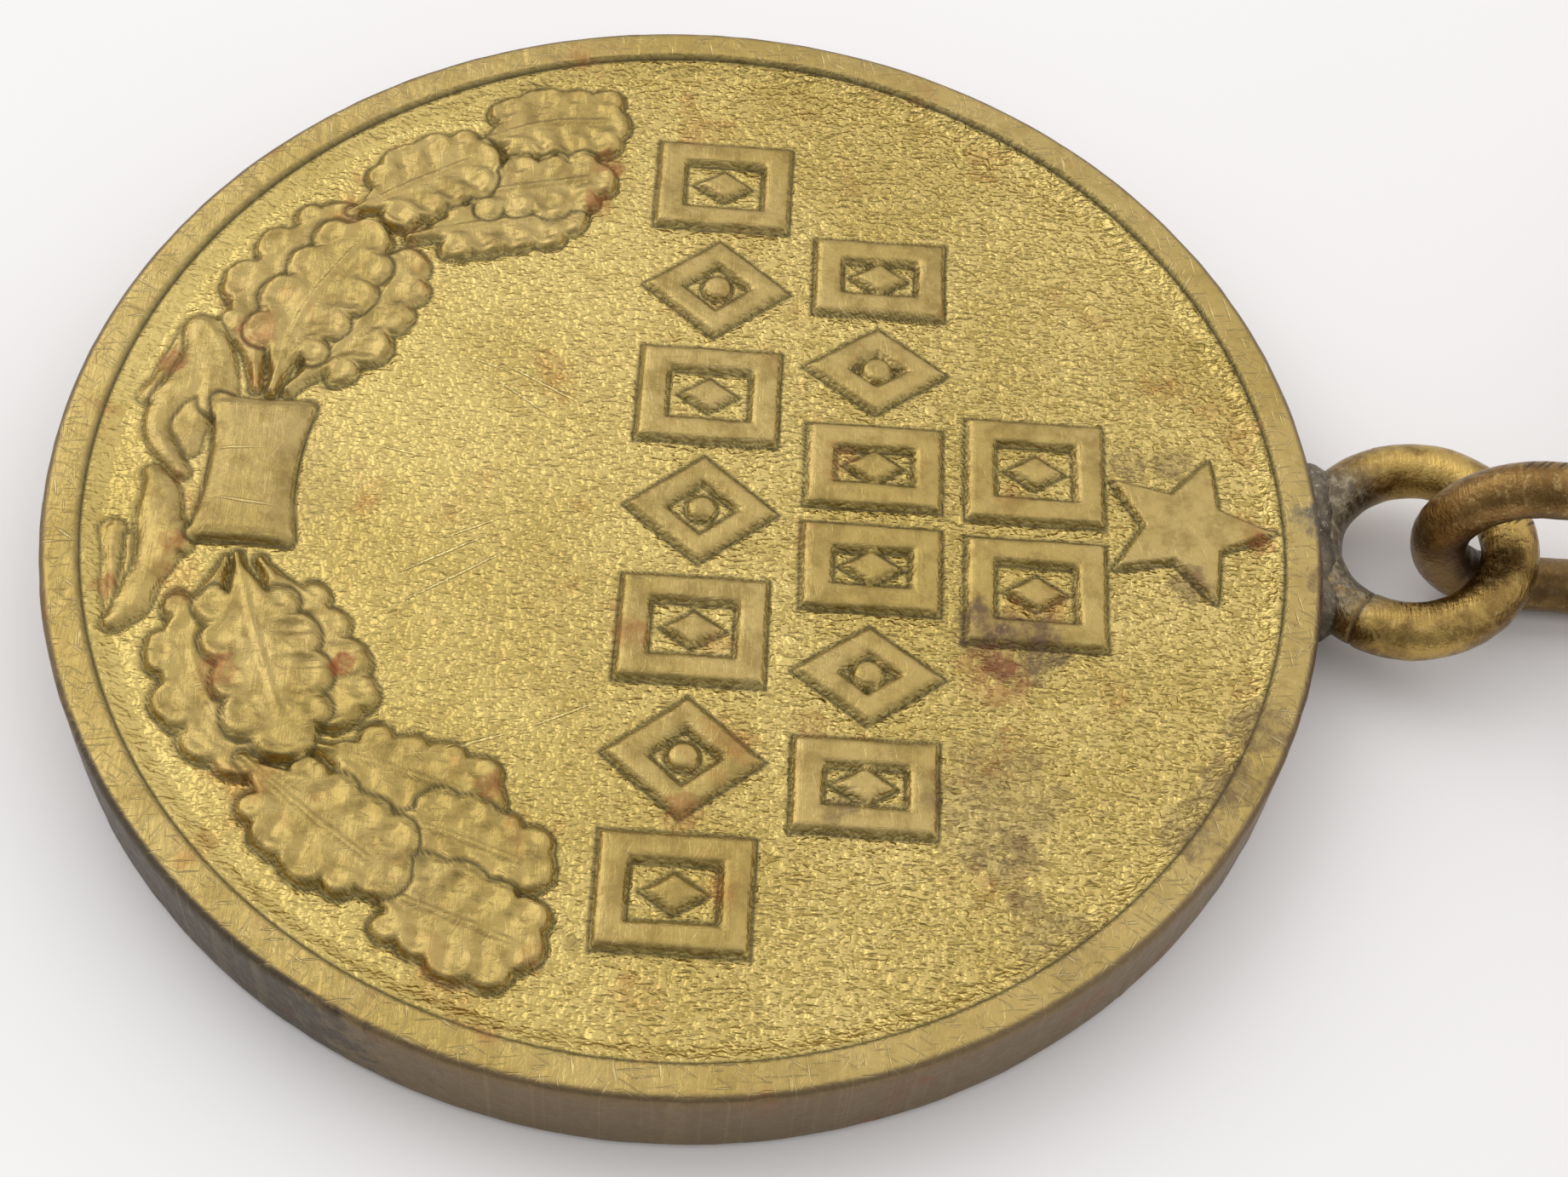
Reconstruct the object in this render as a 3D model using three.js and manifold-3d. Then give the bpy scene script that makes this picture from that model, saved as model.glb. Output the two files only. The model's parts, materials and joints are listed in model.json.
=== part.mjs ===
// A struck brass service medal: a round disc with a soldered wire eyelet, an oblong ring, and a
// pentagonal mount that is covered in ribbon and has a brooch pin on its back.
// Millimetres. The medal lies face up: +Z is out of its face, +Y runs from the disc to the mount.
// The origin is the centre of the disc's reverse.
import * as THREE from "three";
import { mergeVertices } from "three/addons/utils/BufferGeometryUtils.js";
import Module from "manifold-3d";

const wasm = await Module();
wasm.setup();

// ---- driving dimensions ----
const GAP = 0.08; // between pieces that touch
const DISC_R = 16;
const DISC_T = 2.8;
const RIM_W = 0.95;
const RIM_SLOPE = 0.1; // the rim's inner side leans out by this much
const FIELD_DEPTH = 0.35; // how far the field lies below the rim, on each face
const RELIEF = 0.28; // how far the device stands above the field
const STROKE = 0.8; // width of the raised ornament's lines

const WIRE_R = 0.725; // the eyelet's and the ring's wire
const AXIS_X = -0.45; // the eyelet was soldered on a little to the left
const EYELET_R = 2.46; // to the middle of the wire
const EYELET_ROOT_Y = 16.1;
const EYELET_LIFT = THREE.MathUtils.degToRad(12); // the eyelet is bent up towards the face

const RING_R = 2.1; // of each end of the ring, to the middle of the wire
const RING_NEAR_Y = 19.05; // middle of the wire inside the eyelet
const RING_LENGTH = 10.3; // between the middles of the wire at its two ends

const MOUNT_TOP = 26; // the pentagon's top side
const MOUNT_SIDE = 39; // its long sides
const MOUNT_FOOT = 26; // the two sides that meet at its lower corner
const MOUNT_WIDTH = 46;
const PLATE_T = 1;
const HOLE_R = 1.5; // the ring's hole
const BRIDGE = 1.3; // the metal between that hole and the lower corner
const BACK_T = 0.6; // the back plate
const BACK_INSET = 2.4;
const BACK_LOWEST = 7.5; // the back plate ends this far above the bridge
const CLOTH = 0.5; // the ribbon's folded layers, on each face
const NOTCH_R = 4; // bare metal round the ring's hole

const PIN_R = 0.55;
const PIN_Y = 28; // above the bridge
const PIN_HINGE_X = -12.8;
const PIN_LENGTH = 27.4;
const PIN_DROP = 2.15; // from the back plate to the middle of the pin
const RIVET_R = 0.42;
const EYE_R = 1.02; // of the pin's eye, to the middle of the wire
const CHEEK_R = 1.65;
const CHEEK_T = 0.6;
const FOOT_T = 0.4; // of the bracket's and the catch's feet
const CATCH_X = 12.4;

const CURVE_STEPS = 12; // straight pieces in each curve of an outline
const BAR_SIDES = 20;
const THROUGH = 20; // long enough for a cutter to pass through any piece

// ---- materials ----
function metal(color, roughness) {
  return new THREE.MeshStandardMaterial({ color, roughness, metalness: 1 });
}
const brass = metal(0xb79d58, 0.42);
const bronze = metal(0x85673a, 0.45);
const solder = metal(0x5c5a55, 0.6);
const sheetBrass = metal(0xc2a869, 0.4);
const steel = metal(0xa9a9a6, 0.35);
const cloth = new THREE.MeshStandardMaterial({ color: 0xa01824, roughness: 0.8, metalness: 0 });

// ---- joining and cutting ----
function solid(geometry) {
  const bare = geometry.clone();
  bare.deleteAttribute("normal");
  bare.deleteAttribute("uv");
  const merged = mergeVertices(bare, 1e-4);
  return new wasm.Manifold(
    new wasm.Mesh({
      numProp: 3,
      vertProperties: new Float32Array(merged.attributes.position.array),
      triVerts: new Uint32Array(merged.index.array),
    }),
  );
}

function joined(...solids) {
  return solids.reduce((all, next) => all.add(next));
}

function piece(name, shape, material) {
  const { numProp, vertProperties, triVerts } = shape.getMesh();
  const positions = new Float32Array((vertProperties.length / numProp) * 3);
  for (let i = 0; i < positions.length / 3; i++) {
    positions.set(vertProperties.subarray(i * numProp, i * numProp + 3), i * 3);
  }
  const geometry = new THREE.BufferGeometry();
  geometry.setAttribute("position", new THREE.BufferAttribute(positions, 3));
  geometry.setIndex(new THREE.BufferAttribute(new Uint32Array(triVerts), 1));
  geometry.computeVertexNormals();
  const mesh = new THREE.Mesh(geometry, material);
  mesh.name = name;
  return mesh;
}

// A flat outline raised from one height to another.
function slab(shape, low, high) {
  const geometry = new THREE.ExtrudeGeometry(shape, {
    depth: high - low,
    bevelEnabled: false,
    curveSegments: CURVE_STEPS,
  });
  return solid(geometry.translate(0, 0, low));
}

function block(width, length, height, x, y, z) {
  return solid(new THREE.BoxGeometry(width, length, height).translate(x, y, z));
}

// A round bar along Y, for what a hinge turns on.
function barAlongY(radius, length, x, y, z) {
  return solid(new THREE.CylinderGeometry(radius, radius, length, BAR_SIDES).translate(x, y, z));
}

function outline(points) {
  return new THREE.Shape(points.map(([x, y]) => new THREE.Vector2(x, y)));
}

// ---- the struck disc ----
function discBlank() {
  const inner = DISC_R - RIM_W;
  const top = DISC_T - FIELD_DEPTH;
  const edge = 0.25; // the rim's rounded corner
  const profile = [
    [0, FIELD_DEPTH],
    [inner, FIELD_DEPTH],
    [inner + RIM_SLOPE, 0],
    [DISC_R - edge, 0],
    [DISC_R, edge],
    [DISC_R, DISC_T - edge],
    [DISC_R - edge, DISC_T],
    [inner + RIM_SLOPE, DISC_T],
    [inner, top],
    [0, top],
  ];
  const turned = new THREE.LatheGeometry(
    profile.map(([r, z]) => new THREE.Vector2(r, z)),
    72,
  );
  return solid(turned.rotateX(Math.PI / 2));
}

const STAR_WAIST = 0.42; // of the star's radius, to its inner corners
function starShape(x, y, radius) {
  const waist = radius * STAR_WAIST;
  const points = [];
  for (let i = 0; i < 10; i++) {
    const r = i % 2 ? waist : radius;
    const turn = Math.PI / 2 + (i * Math.PI) / 5;
    points.push([x + r * Math.cos(turn), y + r * Math.sin(turn)]);
  }
  return outline(points);
}

// A raised frame with a sunk middle.
function frameShape(x, y, width, height) {
  const w = width / 2;
  const h = height / 2;
  const shape = outline([[x - w, y - h], [x + w, y - h], [x + w, y + h], [x - w, y + h]]);
  const inner = outline([
    [x - w + STROKE, y - h + STROKE],
    [x - w + STROKE, y + h - STROKE],
    [x + w - STROKE, y + h - STROKE],
    [x + w - STROKE, y - h + STROKE],
  ]);
  shape.holes.push(inner);
  return shape;
}

// An oak leaf from its stalk to its tip: a narrow blade whose edge swells into round lobes.
function leafShape(x, y, length, width, turn) {
  const points = [];
  const steps = 12;
  const lobes = 3;
  for (const side of [1, -1]) {
    for (let i = 0; i < steps; i++) {
      const t = side > 0 ? i / steps : 1 - i / steps;
      const blade = Math.sin(Math.PI * Math.pow(t, 0.8));
      const swell = 0.78 + 0.22 * Math.cos(2 * Math.PI * lobes * t);
      points.push([length * t, side * -0.5 * width * blade * swell]);
    }
  }
  const c = Math.cos(turn);
  const s = Math.sin(turn);
  return outline(points.map(([u, v]) => [x + u * c - v * s, y + u * s + v * c]));
}

// The band that ties the two branches: four sides, each drawn in towards its middle.
function tieShape() {
  const half = 2.3;
  const waist = 0.9 * half;
  const top = -9.5;
  const bottom = -12.3;
  const middle = (top + bottom) / 2;
  const dip = 0.6;
  const shape = new THREE.Shape();
  shape.moveTo(-half, top);
  shape.quadraticCurveTo(-waist, middle, -half, bottom);
  shape.quadraticCurveTo(0, bottom + dip, half, bottom);
  shape.quadraticCurveTo(waist, middle, half, top);
  shape.quadraticCurveTo(0, top - dip, -half, top);
  return shape;
}

// Rows of plain frames where an inscription would stand: the y of a row's middle, its height, the
// x of its two ends, and how many frames it has.
const ORNAMENT_ROWS = [
  { y: 8.7, height: 3.4, left: -3.15, right: 3.55, count: 2 },
  { y: 4.6, height: 3.4, left: -8.85, right: 9.0, count: 6 },
  { y: 0.3, height: 3.4, left: -11.95, right: 12.35, count: 7 },
];

// The left branch's leaves: how far the stalk is from the middle line, the stalk's y, the length,
// the width and the angle in degrees. The right branch mirrors them.
const LEAVES = [
  [2.6, -10.8, 5.6, 2.6, 168],
  [2.8, -9.9, 5.0, 2.2, 150],
  [7.4, -9.2, 4.6, 2.6, 143],
  [9.6, -6.4, 5.0, 2.8, 122],
  [7.5, -7.6, 5.2, 2.6, 112],
];

const ROOT = 0.3; // how deep each raised shape reaches into the disc
function struckDisc() {
  const top = DISC_T - FIELD_DEPTH;
  const raise = (shape) => slab(shape, top - ROOT, top + RELIEF);
  let disc = joined(discBlank(), raise(starShape(-0.1, 12.5, 2)), raise(tieShape()));
  for (const row of ORNAMENT_ROWS) {
    const pitch = (row.right - row.left + STROKE) / row.count;
    for (let i = 0; i < row.count; i++) {
      const x = row.left + pitch * (i + 0.5) - STROKE / 2;
      disc = disc.add(raise(frameShape(x, row.y, pitch - STROKE, row.height)));
    }
  }
  for (const [x, y, length, width, angle] of LEAVES) {
    const turn = THREE.MathUtils.degToRad(angle);
    disc = disc.add(raise(leafShape(-x, y, length, width, turn)));
    disc = disc.add(raise(leafShape(x, y, length, width, Math.PI - turn)));
  }
  // the reverse has one plain star, level with its rim
  return disc.add(slab(starShape(0, 0, 6), 0, FIELD_DEPTH + ROOT));
}

// ---- the wire pieces ----
function eyeletTorus(wireRadius) {
  const torus = new THREE.TorusGeometry(EYELET_R, wireRadius, 12, 32);
  torus.translate(0, EYELET_R, 0).rotateX(EYELET_LIFT);
  return solid(torus.translate(AXIS_X, EYELET_ROOT_Y, DISC_T / 2));
}

function discSweep(gap) {
  const bar = new THREE.CylinderGeometry(DISC_R + gap, DISC_R + gap, 4 * DISC_T, 96);
  return solid(bar.rotateX(Math.PI / 2));
}

function solderFillet() {
  const lump = new THREE.SphereGeometry(1, 20, 12).scale(3, 1.05, 1.15);
  return solid(lump.translate(AXIS_X, DISC_R, DISC_T / 2))
    .subtract(discSweep(GAP))
    .subtract(eyeletTorus(WIRE_R + GAP));
}

// A torus with one half moved away, so that straight arms join its two ends.
function oblongRing() {
  const torus = new THREE.TorusGeometry(RING_R, WIRE_R, 12, 32);
  const place = torus.attributes.position;
  const arms = RING_LENGTH - 2 * RING_R;
  const middle = 1e-3 * RING_R; // points closer to zero than this stay with the near half
  for (let i = 0; i < place.count; i++) {
    const y = place.getY(i);
    place.setY(i, y > middle ? y + arms : y);
  }
  torus.rotateY(Math.PI / 2);
  return solid(torus.translate(AXIS_X, RING_NEAR_Y + RING_R, RING_R + WIRE_R));
}

// ---- the mount, in a frame of its own: x across, y up from the bridge, z out of its front ----
const footRise = Math.sqrt(MOUNT_FOOT ** 2 - (MOUNT_WIDTH / 2) ** 2);
const sideRise = Math.sqrt(MOUNT_SIDE ** 2 - ((MOUNT_WIDTH - MOUNT_TOP) / 2) ** 2);
const cornerR = HOLE_R + BRIDGE; // the lower corner is rounded about the ring's hole
const holeY = BRIDGE / 2 + HOLE_R;
const cornerY = holeY - (cornerR * MOUNT_FOOT) / (MOUNT_WIDTH / 2);
const pentagon = [
  [0, cornerY],
  [MOUNT_WIDTH / 2, cornerY + footRise],
  [MOUNT_TOP / 2, cornerY + footRise + sideRise],
  [-MOUNT_TOP / 2, cornerY + footRise + sideRise],
  [-MOUNT_WIDTH / 2, cornerY + footRise],
];

// The pentagon grown by a distance (shrunk if it is negative).
function grown(distance) {
  return pentagon.map((corner, i) => {
    const before = pentagon[(i + pentagon.length - 1) % pentagon.length];
    const after = pentagon[(i + 1) % pentagon.length];
    const [ax, ay] = edgeNormal(before, corner);
    const [bx, by] = edgeNormal(corner, after);
    const share = distance / (1 + ax * bx + ay * by);
    return [corner[0] + share * (ax + bx), corner[1] + share * (ay + by)];
  });
}

function edgeNormal([ax, ay], [bx, by]) {
  const length = Math.hypot(bx - ax, by - ay);
  return [(by - ay) / length, (ax - bx) / length];
}

function holeCutter(radius) {
  const bar = new THREE.CylinderGeometry(radius, radius, THROUGH, 40);
  return solid(bar.rotateX(Math.PI / 2).translate(0, holeY, 0));
}

// The corner is rounded by cutting away a block that is itself cut by the corner's circle.
function mountPlate() {
  const half = PLATE_T / 2;
  const round = new THREE.Shape().absarc(0, holeY, cornerR, 0, 2 * Math.PI);
  const body = slab(outline(grown(0)), -half, half);
  const corner = block(4 * cornerR, 2 * BRIDGE, 2 * PLATE_T, 0, cornerY, 0);
  return body
    .subtract(corner.subtract(slab(round, -2 * PLATE_T, 2 * PLATE_T)))
    .subtract(holeCutter(HOLE_R));
}

function ribbonSleeve() {
  const inside = PLATE_T / 2 + GAP;
  const outside = inside + CLOTH;
  return slab(outline(grown(CLOTH + GAP)), -outside, outside)
    .subtract(slab(outline(grown(GAP)), -inside, inside))
    .subtract(holeCutter(NOTCH_R));
}

const backFront = -(PLATE_T / 2 + CLOTH + 2 * GAP); // the back plate's side against the ribbon
const backFace = backFront - BACK_T; // and its side against the wearer's coat
const pinZ = backFace - PIN_DROP;

function backPlate() {
  const size = 2 * MOUNT_WIDTH;
  const keep = block(size, size, THROUGH, 0, BACK_LOWEST + size / 2, 0);
  return slab(outline(grown(-BACK_INSET)), backFace, backFront).intersect(keep);
}

// Two cheeks on a foot; the rivet goes through both, and the pin's eye turns between them.
const CHEEK_INNER = PIN_R + GAP;
const footTop = backFace - GAP;
function hingeBracket() {
  const long = 4.4;
  const wide = 2 * (CHEEK_INNER + CHEEK_T);
  const foot = block(long, wide, FOOT_T, PIN_HINGE_X, PIN_Y, footTop - FOOT_T / 2);
  const cheeks = [-1, 1].map((side) => {
    const y = PIN_Y + side * (CHEEK_INNER + CHEEK_T / 2);
    const height = footTop - pinZ;
    return joined(
      barAlongY(CHEEK_R, CHEEK_T, PIN_HINGE_X, y, pinZ),
      block(2 * CHEEK_R, CHEEK_T, height, PIN_HINGE_X, y, pinZ + height / 2),
    );
  });
  const bore = barAlongY(RIVET_R + GAP, THROUGH, PIN_HINGE_X, PIN_Y, pinZ);
  return joined(foot, ...cheeks).subtract(bore);
}

// A shank with a flat head at each end.
function hingeRivet() {
  const reach = CHEEK_INNER + CHEEK_T + GAP;
  const headT = 0.35;
  const headR = 0.95;
  const heads = [-1, 1].map((side) =>
    barAlongY(headR, headT, PIN_HINGE_X, PIN_Y + side * (reach + headT / 2), pinZ),
  );
  return joined(barAlongY(RIVET_R, 2 * reach + headT, PIN_HINGE_X, PIN_Y, pinZ), ...heads);
}

// The wire is bent into an eye round the rivet and filed to a point at its other end.
function pinWire() {
  const eye = new THREE.TorusGeometry(EYE_R, PIN_R - 0.02, 10, 28);
  eye.rotateX(Math.PI / 2).translate(PIN_HINGE_X, PIN_Y, pinZ);
  const taper = 5;
  const tipR = 0.08;
  const straight = PIN_LENGTH - taper;
  const start = PIN_HINGE_X + EYE_R;
  const shaft = new THREE.CylinderGeometry(PIN_R, PIN_R, straight, 14);
  shaft.rotateZ(-Math.PI / 2).translate(start + straight / 2, PIN_Y, pinZ);
  const point = new THREE.CylinderGeometry(tipR, PIN_R, taper, 14);
  point.rotateZ(-Math.PI / 2).translate(start + straight + taper / 2, PIN_Y, pinZ);
  return joined(solid(eye), solid(shaft), solid(point));
}

// A strip rolled into a C that is open away from the back plate, on a foot.
function pinCatch() {
  const long = 3;
  const footLong = long + 1;
  const footWide = 3.2;
  const neckWide = 0.9;
  const inner = PIN_R + 0.2;
  const outer = inner + 0.5;
  const roll = new THREE.CylinderGeometry(outer, outer, long, 24);
  roll.rotateZ(Math.PI / 2).translate(CATCH_X, PIN_Y, pinZ);
  const hollow = new THREE.CylinderGeometry(inner, inner, long + 1, 24);
  hollow.rotateZ(Math.PI / 2).translate(CATCH_X, PIN_Y, pinZ);
  const mouthWide = 2 * (PIN_R + 0.12);
  const mouthDeep = 4;
  const mouth = block(long + 1, mouthWide, mouthDeep, CATCH_X, PIN_Y, pinZ - mouthDeep / 2);
  const neckHeight = footTop - pinZ - inner;
  const neck = block(long, neckWide, neckHeight, CATCH_X, PIN_Y, footTop - neckHeight / 2);
  const foot = block(footLong, footWide, FOOT_T, CATCH_X, PIN_Y, footTop - FOOT_T / 2);
  return joined(solid(roll), neck).subtract(solid(hollow)).subtract(mouth).add(foot);
}

// ---- the assembly ----
const medal = new THREE.Group();
medal.add(piece("medal_disc", struckDisc(), brass));
medal.add(piece("eyelet", eyeletTorus(WIRE_R).subtract(discSweep(GAP)), bronze));
medal.add(piece("solder_fillet", solderFillet(), solder));
medal.add(piece("suspension_ring", oblongRing(), bronze));

// The mount leans back until its pin fittings reach the surface that the medal lies on.
const bridgePlace = new THREE.Vector3(
  AXIS_X,
  RING_NEAR_Y + RING_LENGTH - RING_R,
  RING_R + WIRE_R,
);
const lowest = -(pinZ - CHEEK_R);
const reachY = PIN_Y - CHEEK_INNER - CHEEK_T;
const lean =
  Math.atan2(lowest, reachY) - Math.asin(bridgePlace.z / Math.hypot(lowest, reachY));

const mount = new THREE.Group();
mount.position.copy(bridgePlace);
mount.rotation.x = lean;
mount.add(piece("mount_plate", mountPlate(), sheetBrass));
mount.add(piece("ribbon", ribbonSleeve(), cloth));
mount.add(piece("back_plate", backPlate(), sheetBrass));
mount.add(piece("pin_hinge_bracket", hingeBracket(), sheetBrass));
mount.add(piece("pin_hinge_rivet", hingeRivet(), brass));
mount.add(piece("pin", pinWire(), steel));
mount.add(piece("pin_catch", pinCatch(), sheetBrass));
medal.add(mount);

export default medal;
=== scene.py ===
import json
import math

import bmesh
import bpy
import numpy as np
from mathutils import Matrix, Vector


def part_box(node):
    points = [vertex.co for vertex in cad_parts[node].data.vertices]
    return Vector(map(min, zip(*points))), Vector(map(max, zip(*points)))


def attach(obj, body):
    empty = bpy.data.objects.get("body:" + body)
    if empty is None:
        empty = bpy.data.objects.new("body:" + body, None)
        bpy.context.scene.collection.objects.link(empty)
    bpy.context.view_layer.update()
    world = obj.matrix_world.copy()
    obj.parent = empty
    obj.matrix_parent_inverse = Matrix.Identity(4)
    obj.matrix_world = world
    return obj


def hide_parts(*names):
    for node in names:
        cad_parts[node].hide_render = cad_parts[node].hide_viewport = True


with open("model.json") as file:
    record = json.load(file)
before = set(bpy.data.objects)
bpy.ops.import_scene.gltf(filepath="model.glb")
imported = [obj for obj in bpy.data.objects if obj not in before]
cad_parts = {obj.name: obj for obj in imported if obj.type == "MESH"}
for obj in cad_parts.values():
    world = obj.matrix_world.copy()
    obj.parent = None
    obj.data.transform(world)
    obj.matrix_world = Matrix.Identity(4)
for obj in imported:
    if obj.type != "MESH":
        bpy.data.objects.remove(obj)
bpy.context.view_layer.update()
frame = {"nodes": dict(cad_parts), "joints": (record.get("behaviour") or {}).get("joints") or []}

MM = 0.001
SEED = 58

# ---- sizes from the frame ----
disc_low, disc_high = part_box("medal_disc")
DISC_R = (disc_high.x - disc_low.x) / 2 / MM
DISC_T = (disc_high.z - disc_low.z) / MM
RIM_W = 0.95
FIELD_DEPTH = 0.35
FIELD_Z = DISC_T - FIELD_DEPTH
INNER_R = DISC_R - RIM_W
RELIEF = 0.22  # how far the device stands above the field
WALL = 0.13  # width of the sloping side of the relief
OUTLINE = 0.05  # width of the dark line at its foot


# ---- numbers and noise ----
def smooth(t):
    t = np.clip(t, 0.0, 1.0)
    return t * t * (3 - 2 * t)


def bump(distance, width):
    return np.exp(-((distance / width) ** 2))


def lattice_noise(x, y, cell, seed):
    """Smooth noise from -1 to 1 whose features are about one cell wide."""
    values = np.random.default_rng(seed).uniform(-1, 1, (257, 257))
    u = x / cell + 1000.0
    v = y / cell + 1000.0
    i = np.floor(u).astype(int)
    j = np.floor(v).astype(int)
    a = smooth(u - i)
    b = smooth(v - j)
    i0 = i % 256
    j0 = j % 256
    low = values[i0, j0] * (1 - a) + values[i0 + 1, j0] * a
    high = values[i0, j0 + 1] * (1 - a) + values[i0 + 1, j0 + 1] * a
    return low * (1 - b) + high * b


def cloudy(x, y, cell, seed):
    """Three octaves of noise, from about -1 to 1."""
    total = 0
    for octave in range(3):
        turn = 0.7 * octave
        c = math.cos(turn)
        s = math.sin(turn)
        scale = cell / 2**octave
        total = total + lattice_noise(x * c - y * s, x * s + y * c, scale, seed + octave) / 2**octave
    return total / 1.75


# ---- signed distances, in mm, positive inside ----
def inside_polygon(x, y, corners):
    nearest = np.full(x.shape, 1e9)
    inside = np.zeros(x.shape, bool)
    for (ax, ay), (bx, by) in zip(corners, corners[1:] + corners[:1]):
        ex = bx - ax
        ey = by - ay
        along = np.clip(((x - ax) * ex + (y - ay) * ey) / (ex * ex + ey * ey), 0, 1)
        nearest = np.minimum(nearest, np.hypot(x - ax - along * ex, y - ay - along * ey))
        crosses = (ay > y) != (by > y)
        inside ^= crosses & (x < ax + (y - ay) * ex / (ey if ey else 1e-12))
    return np.where(inside, nearest, -nearest)


def inside_box(x, y, half_w, half_h):
    return np.minimum(half_w - np.abs(x), half_h - np.abs(y))


def inside_lozenge(x, y, half_w, half_h):
    reach = 1 - np.abs(x) / half_w - np.abs(y) / half_h
    return reach * half_w * half_h / math.hypot(half_w, half_h)


def along_path(x, y, path):
    """Distance from a path of points, the share of the path at the nearest point, and the side."""
    steps = [math.dist(a, b) for a, b in zip(path, path[1:])]
    whole = sum(steps)
    nearest = np.full(x.shape, 1e9)
    share = np.zeros(x.shape)
    side = np.zeros(x.shape)
    done = 0
    for (ax, ay), (bx, by), step in zip(path, path[1:], steps):
        ex = (bx - ax) / step
        ey = (by - ay) / step
        along = np.clip((x - ax) * ex + (y - ay) * ey, 0, step)
        off = np.hypot(x - ax - along * ex, y - ay - along * ey)
        closer = off < nearest
        nearest = np.where(closer, off, nearest)
        share = np.where(closer, (done + along) / whole, share)
        side = np.where(closer, ex * (y - ay) - ey * (x - ax), side)
        done += step
    return nearest, share, side


def curve_through(points, steps):
    """Points of a Catmull-Rom curve through a few points."""
    ends = [points[0], *points, points[-1]]
    path = []
    for a, b, c, d in zip(ends, ends[1:], ends[2:], ends[3:]):
        for i in range(steps):
            t = i / steps
            weights = (
                -0.5 * t + t * t - 0.5 * t**3,
                1 - 2.5 * t * t + 1.5 * t**3,
                0.5 * t + 2 * t * t - 1.5 * t**3,
                -0.5 * t * t + 0.5 * t**3,
            )
            path.append(tuple(sum(w * p[k] for w, p in zip(weights, (a, b, c, d))) for k in (0, 1)))
    return path + [points[-1]]


# ---- the struck face: a height above the field at each point, and where dirt and painted shade collect ----
class Struck:
    """Relief over a set of points: height above the field, how far it is device, and its dirt and
    painted shade.
    """

    def __init__(self, x, y):
        self.x = x
        self.y = y
        self.height = np.zeros(x.shape)
        self.device = np.zeros(x.shape)
        self.dirt_and_shade = np.zeros(x.shape)

    def patch(self, cx, cy, reach):
        """The points near a place: which they are, and their x and y."""
        where = (np.abs(self.x - cx) < reach) & (np.abs(self.y - cy) < reach)
        return where, self.x[where], self.y[where]

    def lay(self, where, distance, height, wall, groove, dirt_and_shade=1.0):
        """Lays one shape over what is there: distance is positive inside it, height its own top."""
        cover = smooth(distance / wall + 0.5)
        outline = bump(distance + 0.6 * wall, OUTLINE)
        below = self.height[where] - groove * outline
        self.height[where] = below * (1 - cover) + height * cover
        self.device[where] = np.maximum(self.device[where] * (1 - cover), cover)
        # the dark line at the shape's foot: dirt, and shade painted in as a darker colour
        self.dirt_and_shade[where] = np.maximum(self.dirt_and_shade[where] * (1 - cover), dirt_and_shade * outline)


STAR_CENTRE = (-0.2, 12.55)
STAR_R = 2.25
STAR_WAIST = 1.05
MARGIN = 0.6  # room about a shape for its sloping side


def star_corners(cx, cy, radius, waist):
    corners = []
    for i in range(10):
        r = waist if i % 2 else radius
        turn = math.pi / 2 + i * math.pi / 5
        corners.append((cx + r * math.cos(turn), cy + r * math.sin(turn)))
    return corners


def add_star(face):
    cx, cy = STAR_CENTRE
    where, x, y = face.patch(cx, cy, STAR_R + MARGIN)
    distance = inside_polygon(x, y, star_corners(cx, cy, STAR_R, STAR_WAIST))
    face.lay(where, distance, RELIEF - 0.02, WALL, 0.03)


STROKE = 0.68
ORNAMENT_ROWS = (  # lowest y, highest y, left edge, right edge, and the motifs in turn
    (7.0, 10.45, -3.15, 3.55, "FF"),
    (2.9, 6.3, -8.85, 9.0, "FLFFLF"),
    (-1.5, 2.05, -11.95, 12.3, "FLFLFLF"),
)
MOTIF_GAP = 0.62  # between two motifs of a row
STUD_R = 0.36
LOZENGE_SIZE = (0.48, 0.7)  # half width and half height of the lozenge in a frame


def framed_motif(x, y, half_w, half_h):
    """A square-cornered frame with a small lozenge in it."""
    outer = inside_box(x, y, half_w, half_h)
    frame_line = np.minimum(outer, STROKE - outer)
    return np.maximum(frame_line, inside_lozenge(x, y, *LOZENGE_SIZE))


def lozenge_motif(x, y, half_w, half_h):
    """A lozenge-shaped frame with a small round stud in it."""
    outer = inside_lozenge(x, y, half_w + 0.1, half_h + 0.1)
    frame_line = np.minimum(outer, STROKE - 0.08 - outer)
    return np.maximum(frame_line, STUD_R - np.hypot(x, y))


def add_ornament(face):
    for low, high, left, right, motifs in ORNAMENT_ROWS:
        pitch = (right - left + MOTIF_GAP) / len(motifs)
        cy = (low + high) / 2
        half_h = (high - low) / 2
        for i, kind in enumerate(motifs):
            cx = left + pitch * (i + 0.5) - MOTIF_GAP / 2
            where, x, y = face.patch(cx, cy, half_h + MARGIN)
            motif = framed_motif if kind == "F" else lozenge_motif
            distance = motif(x - cx, y - cy, (pitch - MOTIF_GAP) / 2, half_h)
            distance = distance + 0.02 * lattice_noise(x, y, 0.9, SEED + 30)
            rounded = 0.03 * smooth(distance / 0.2)
            top = RELIEF - 0.06 + rounded + 0.012 * lattice_noise(x, y, 1.3, SEED + 31)
            face.lay(where, distance, top, WALL, 0.03)


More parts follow.
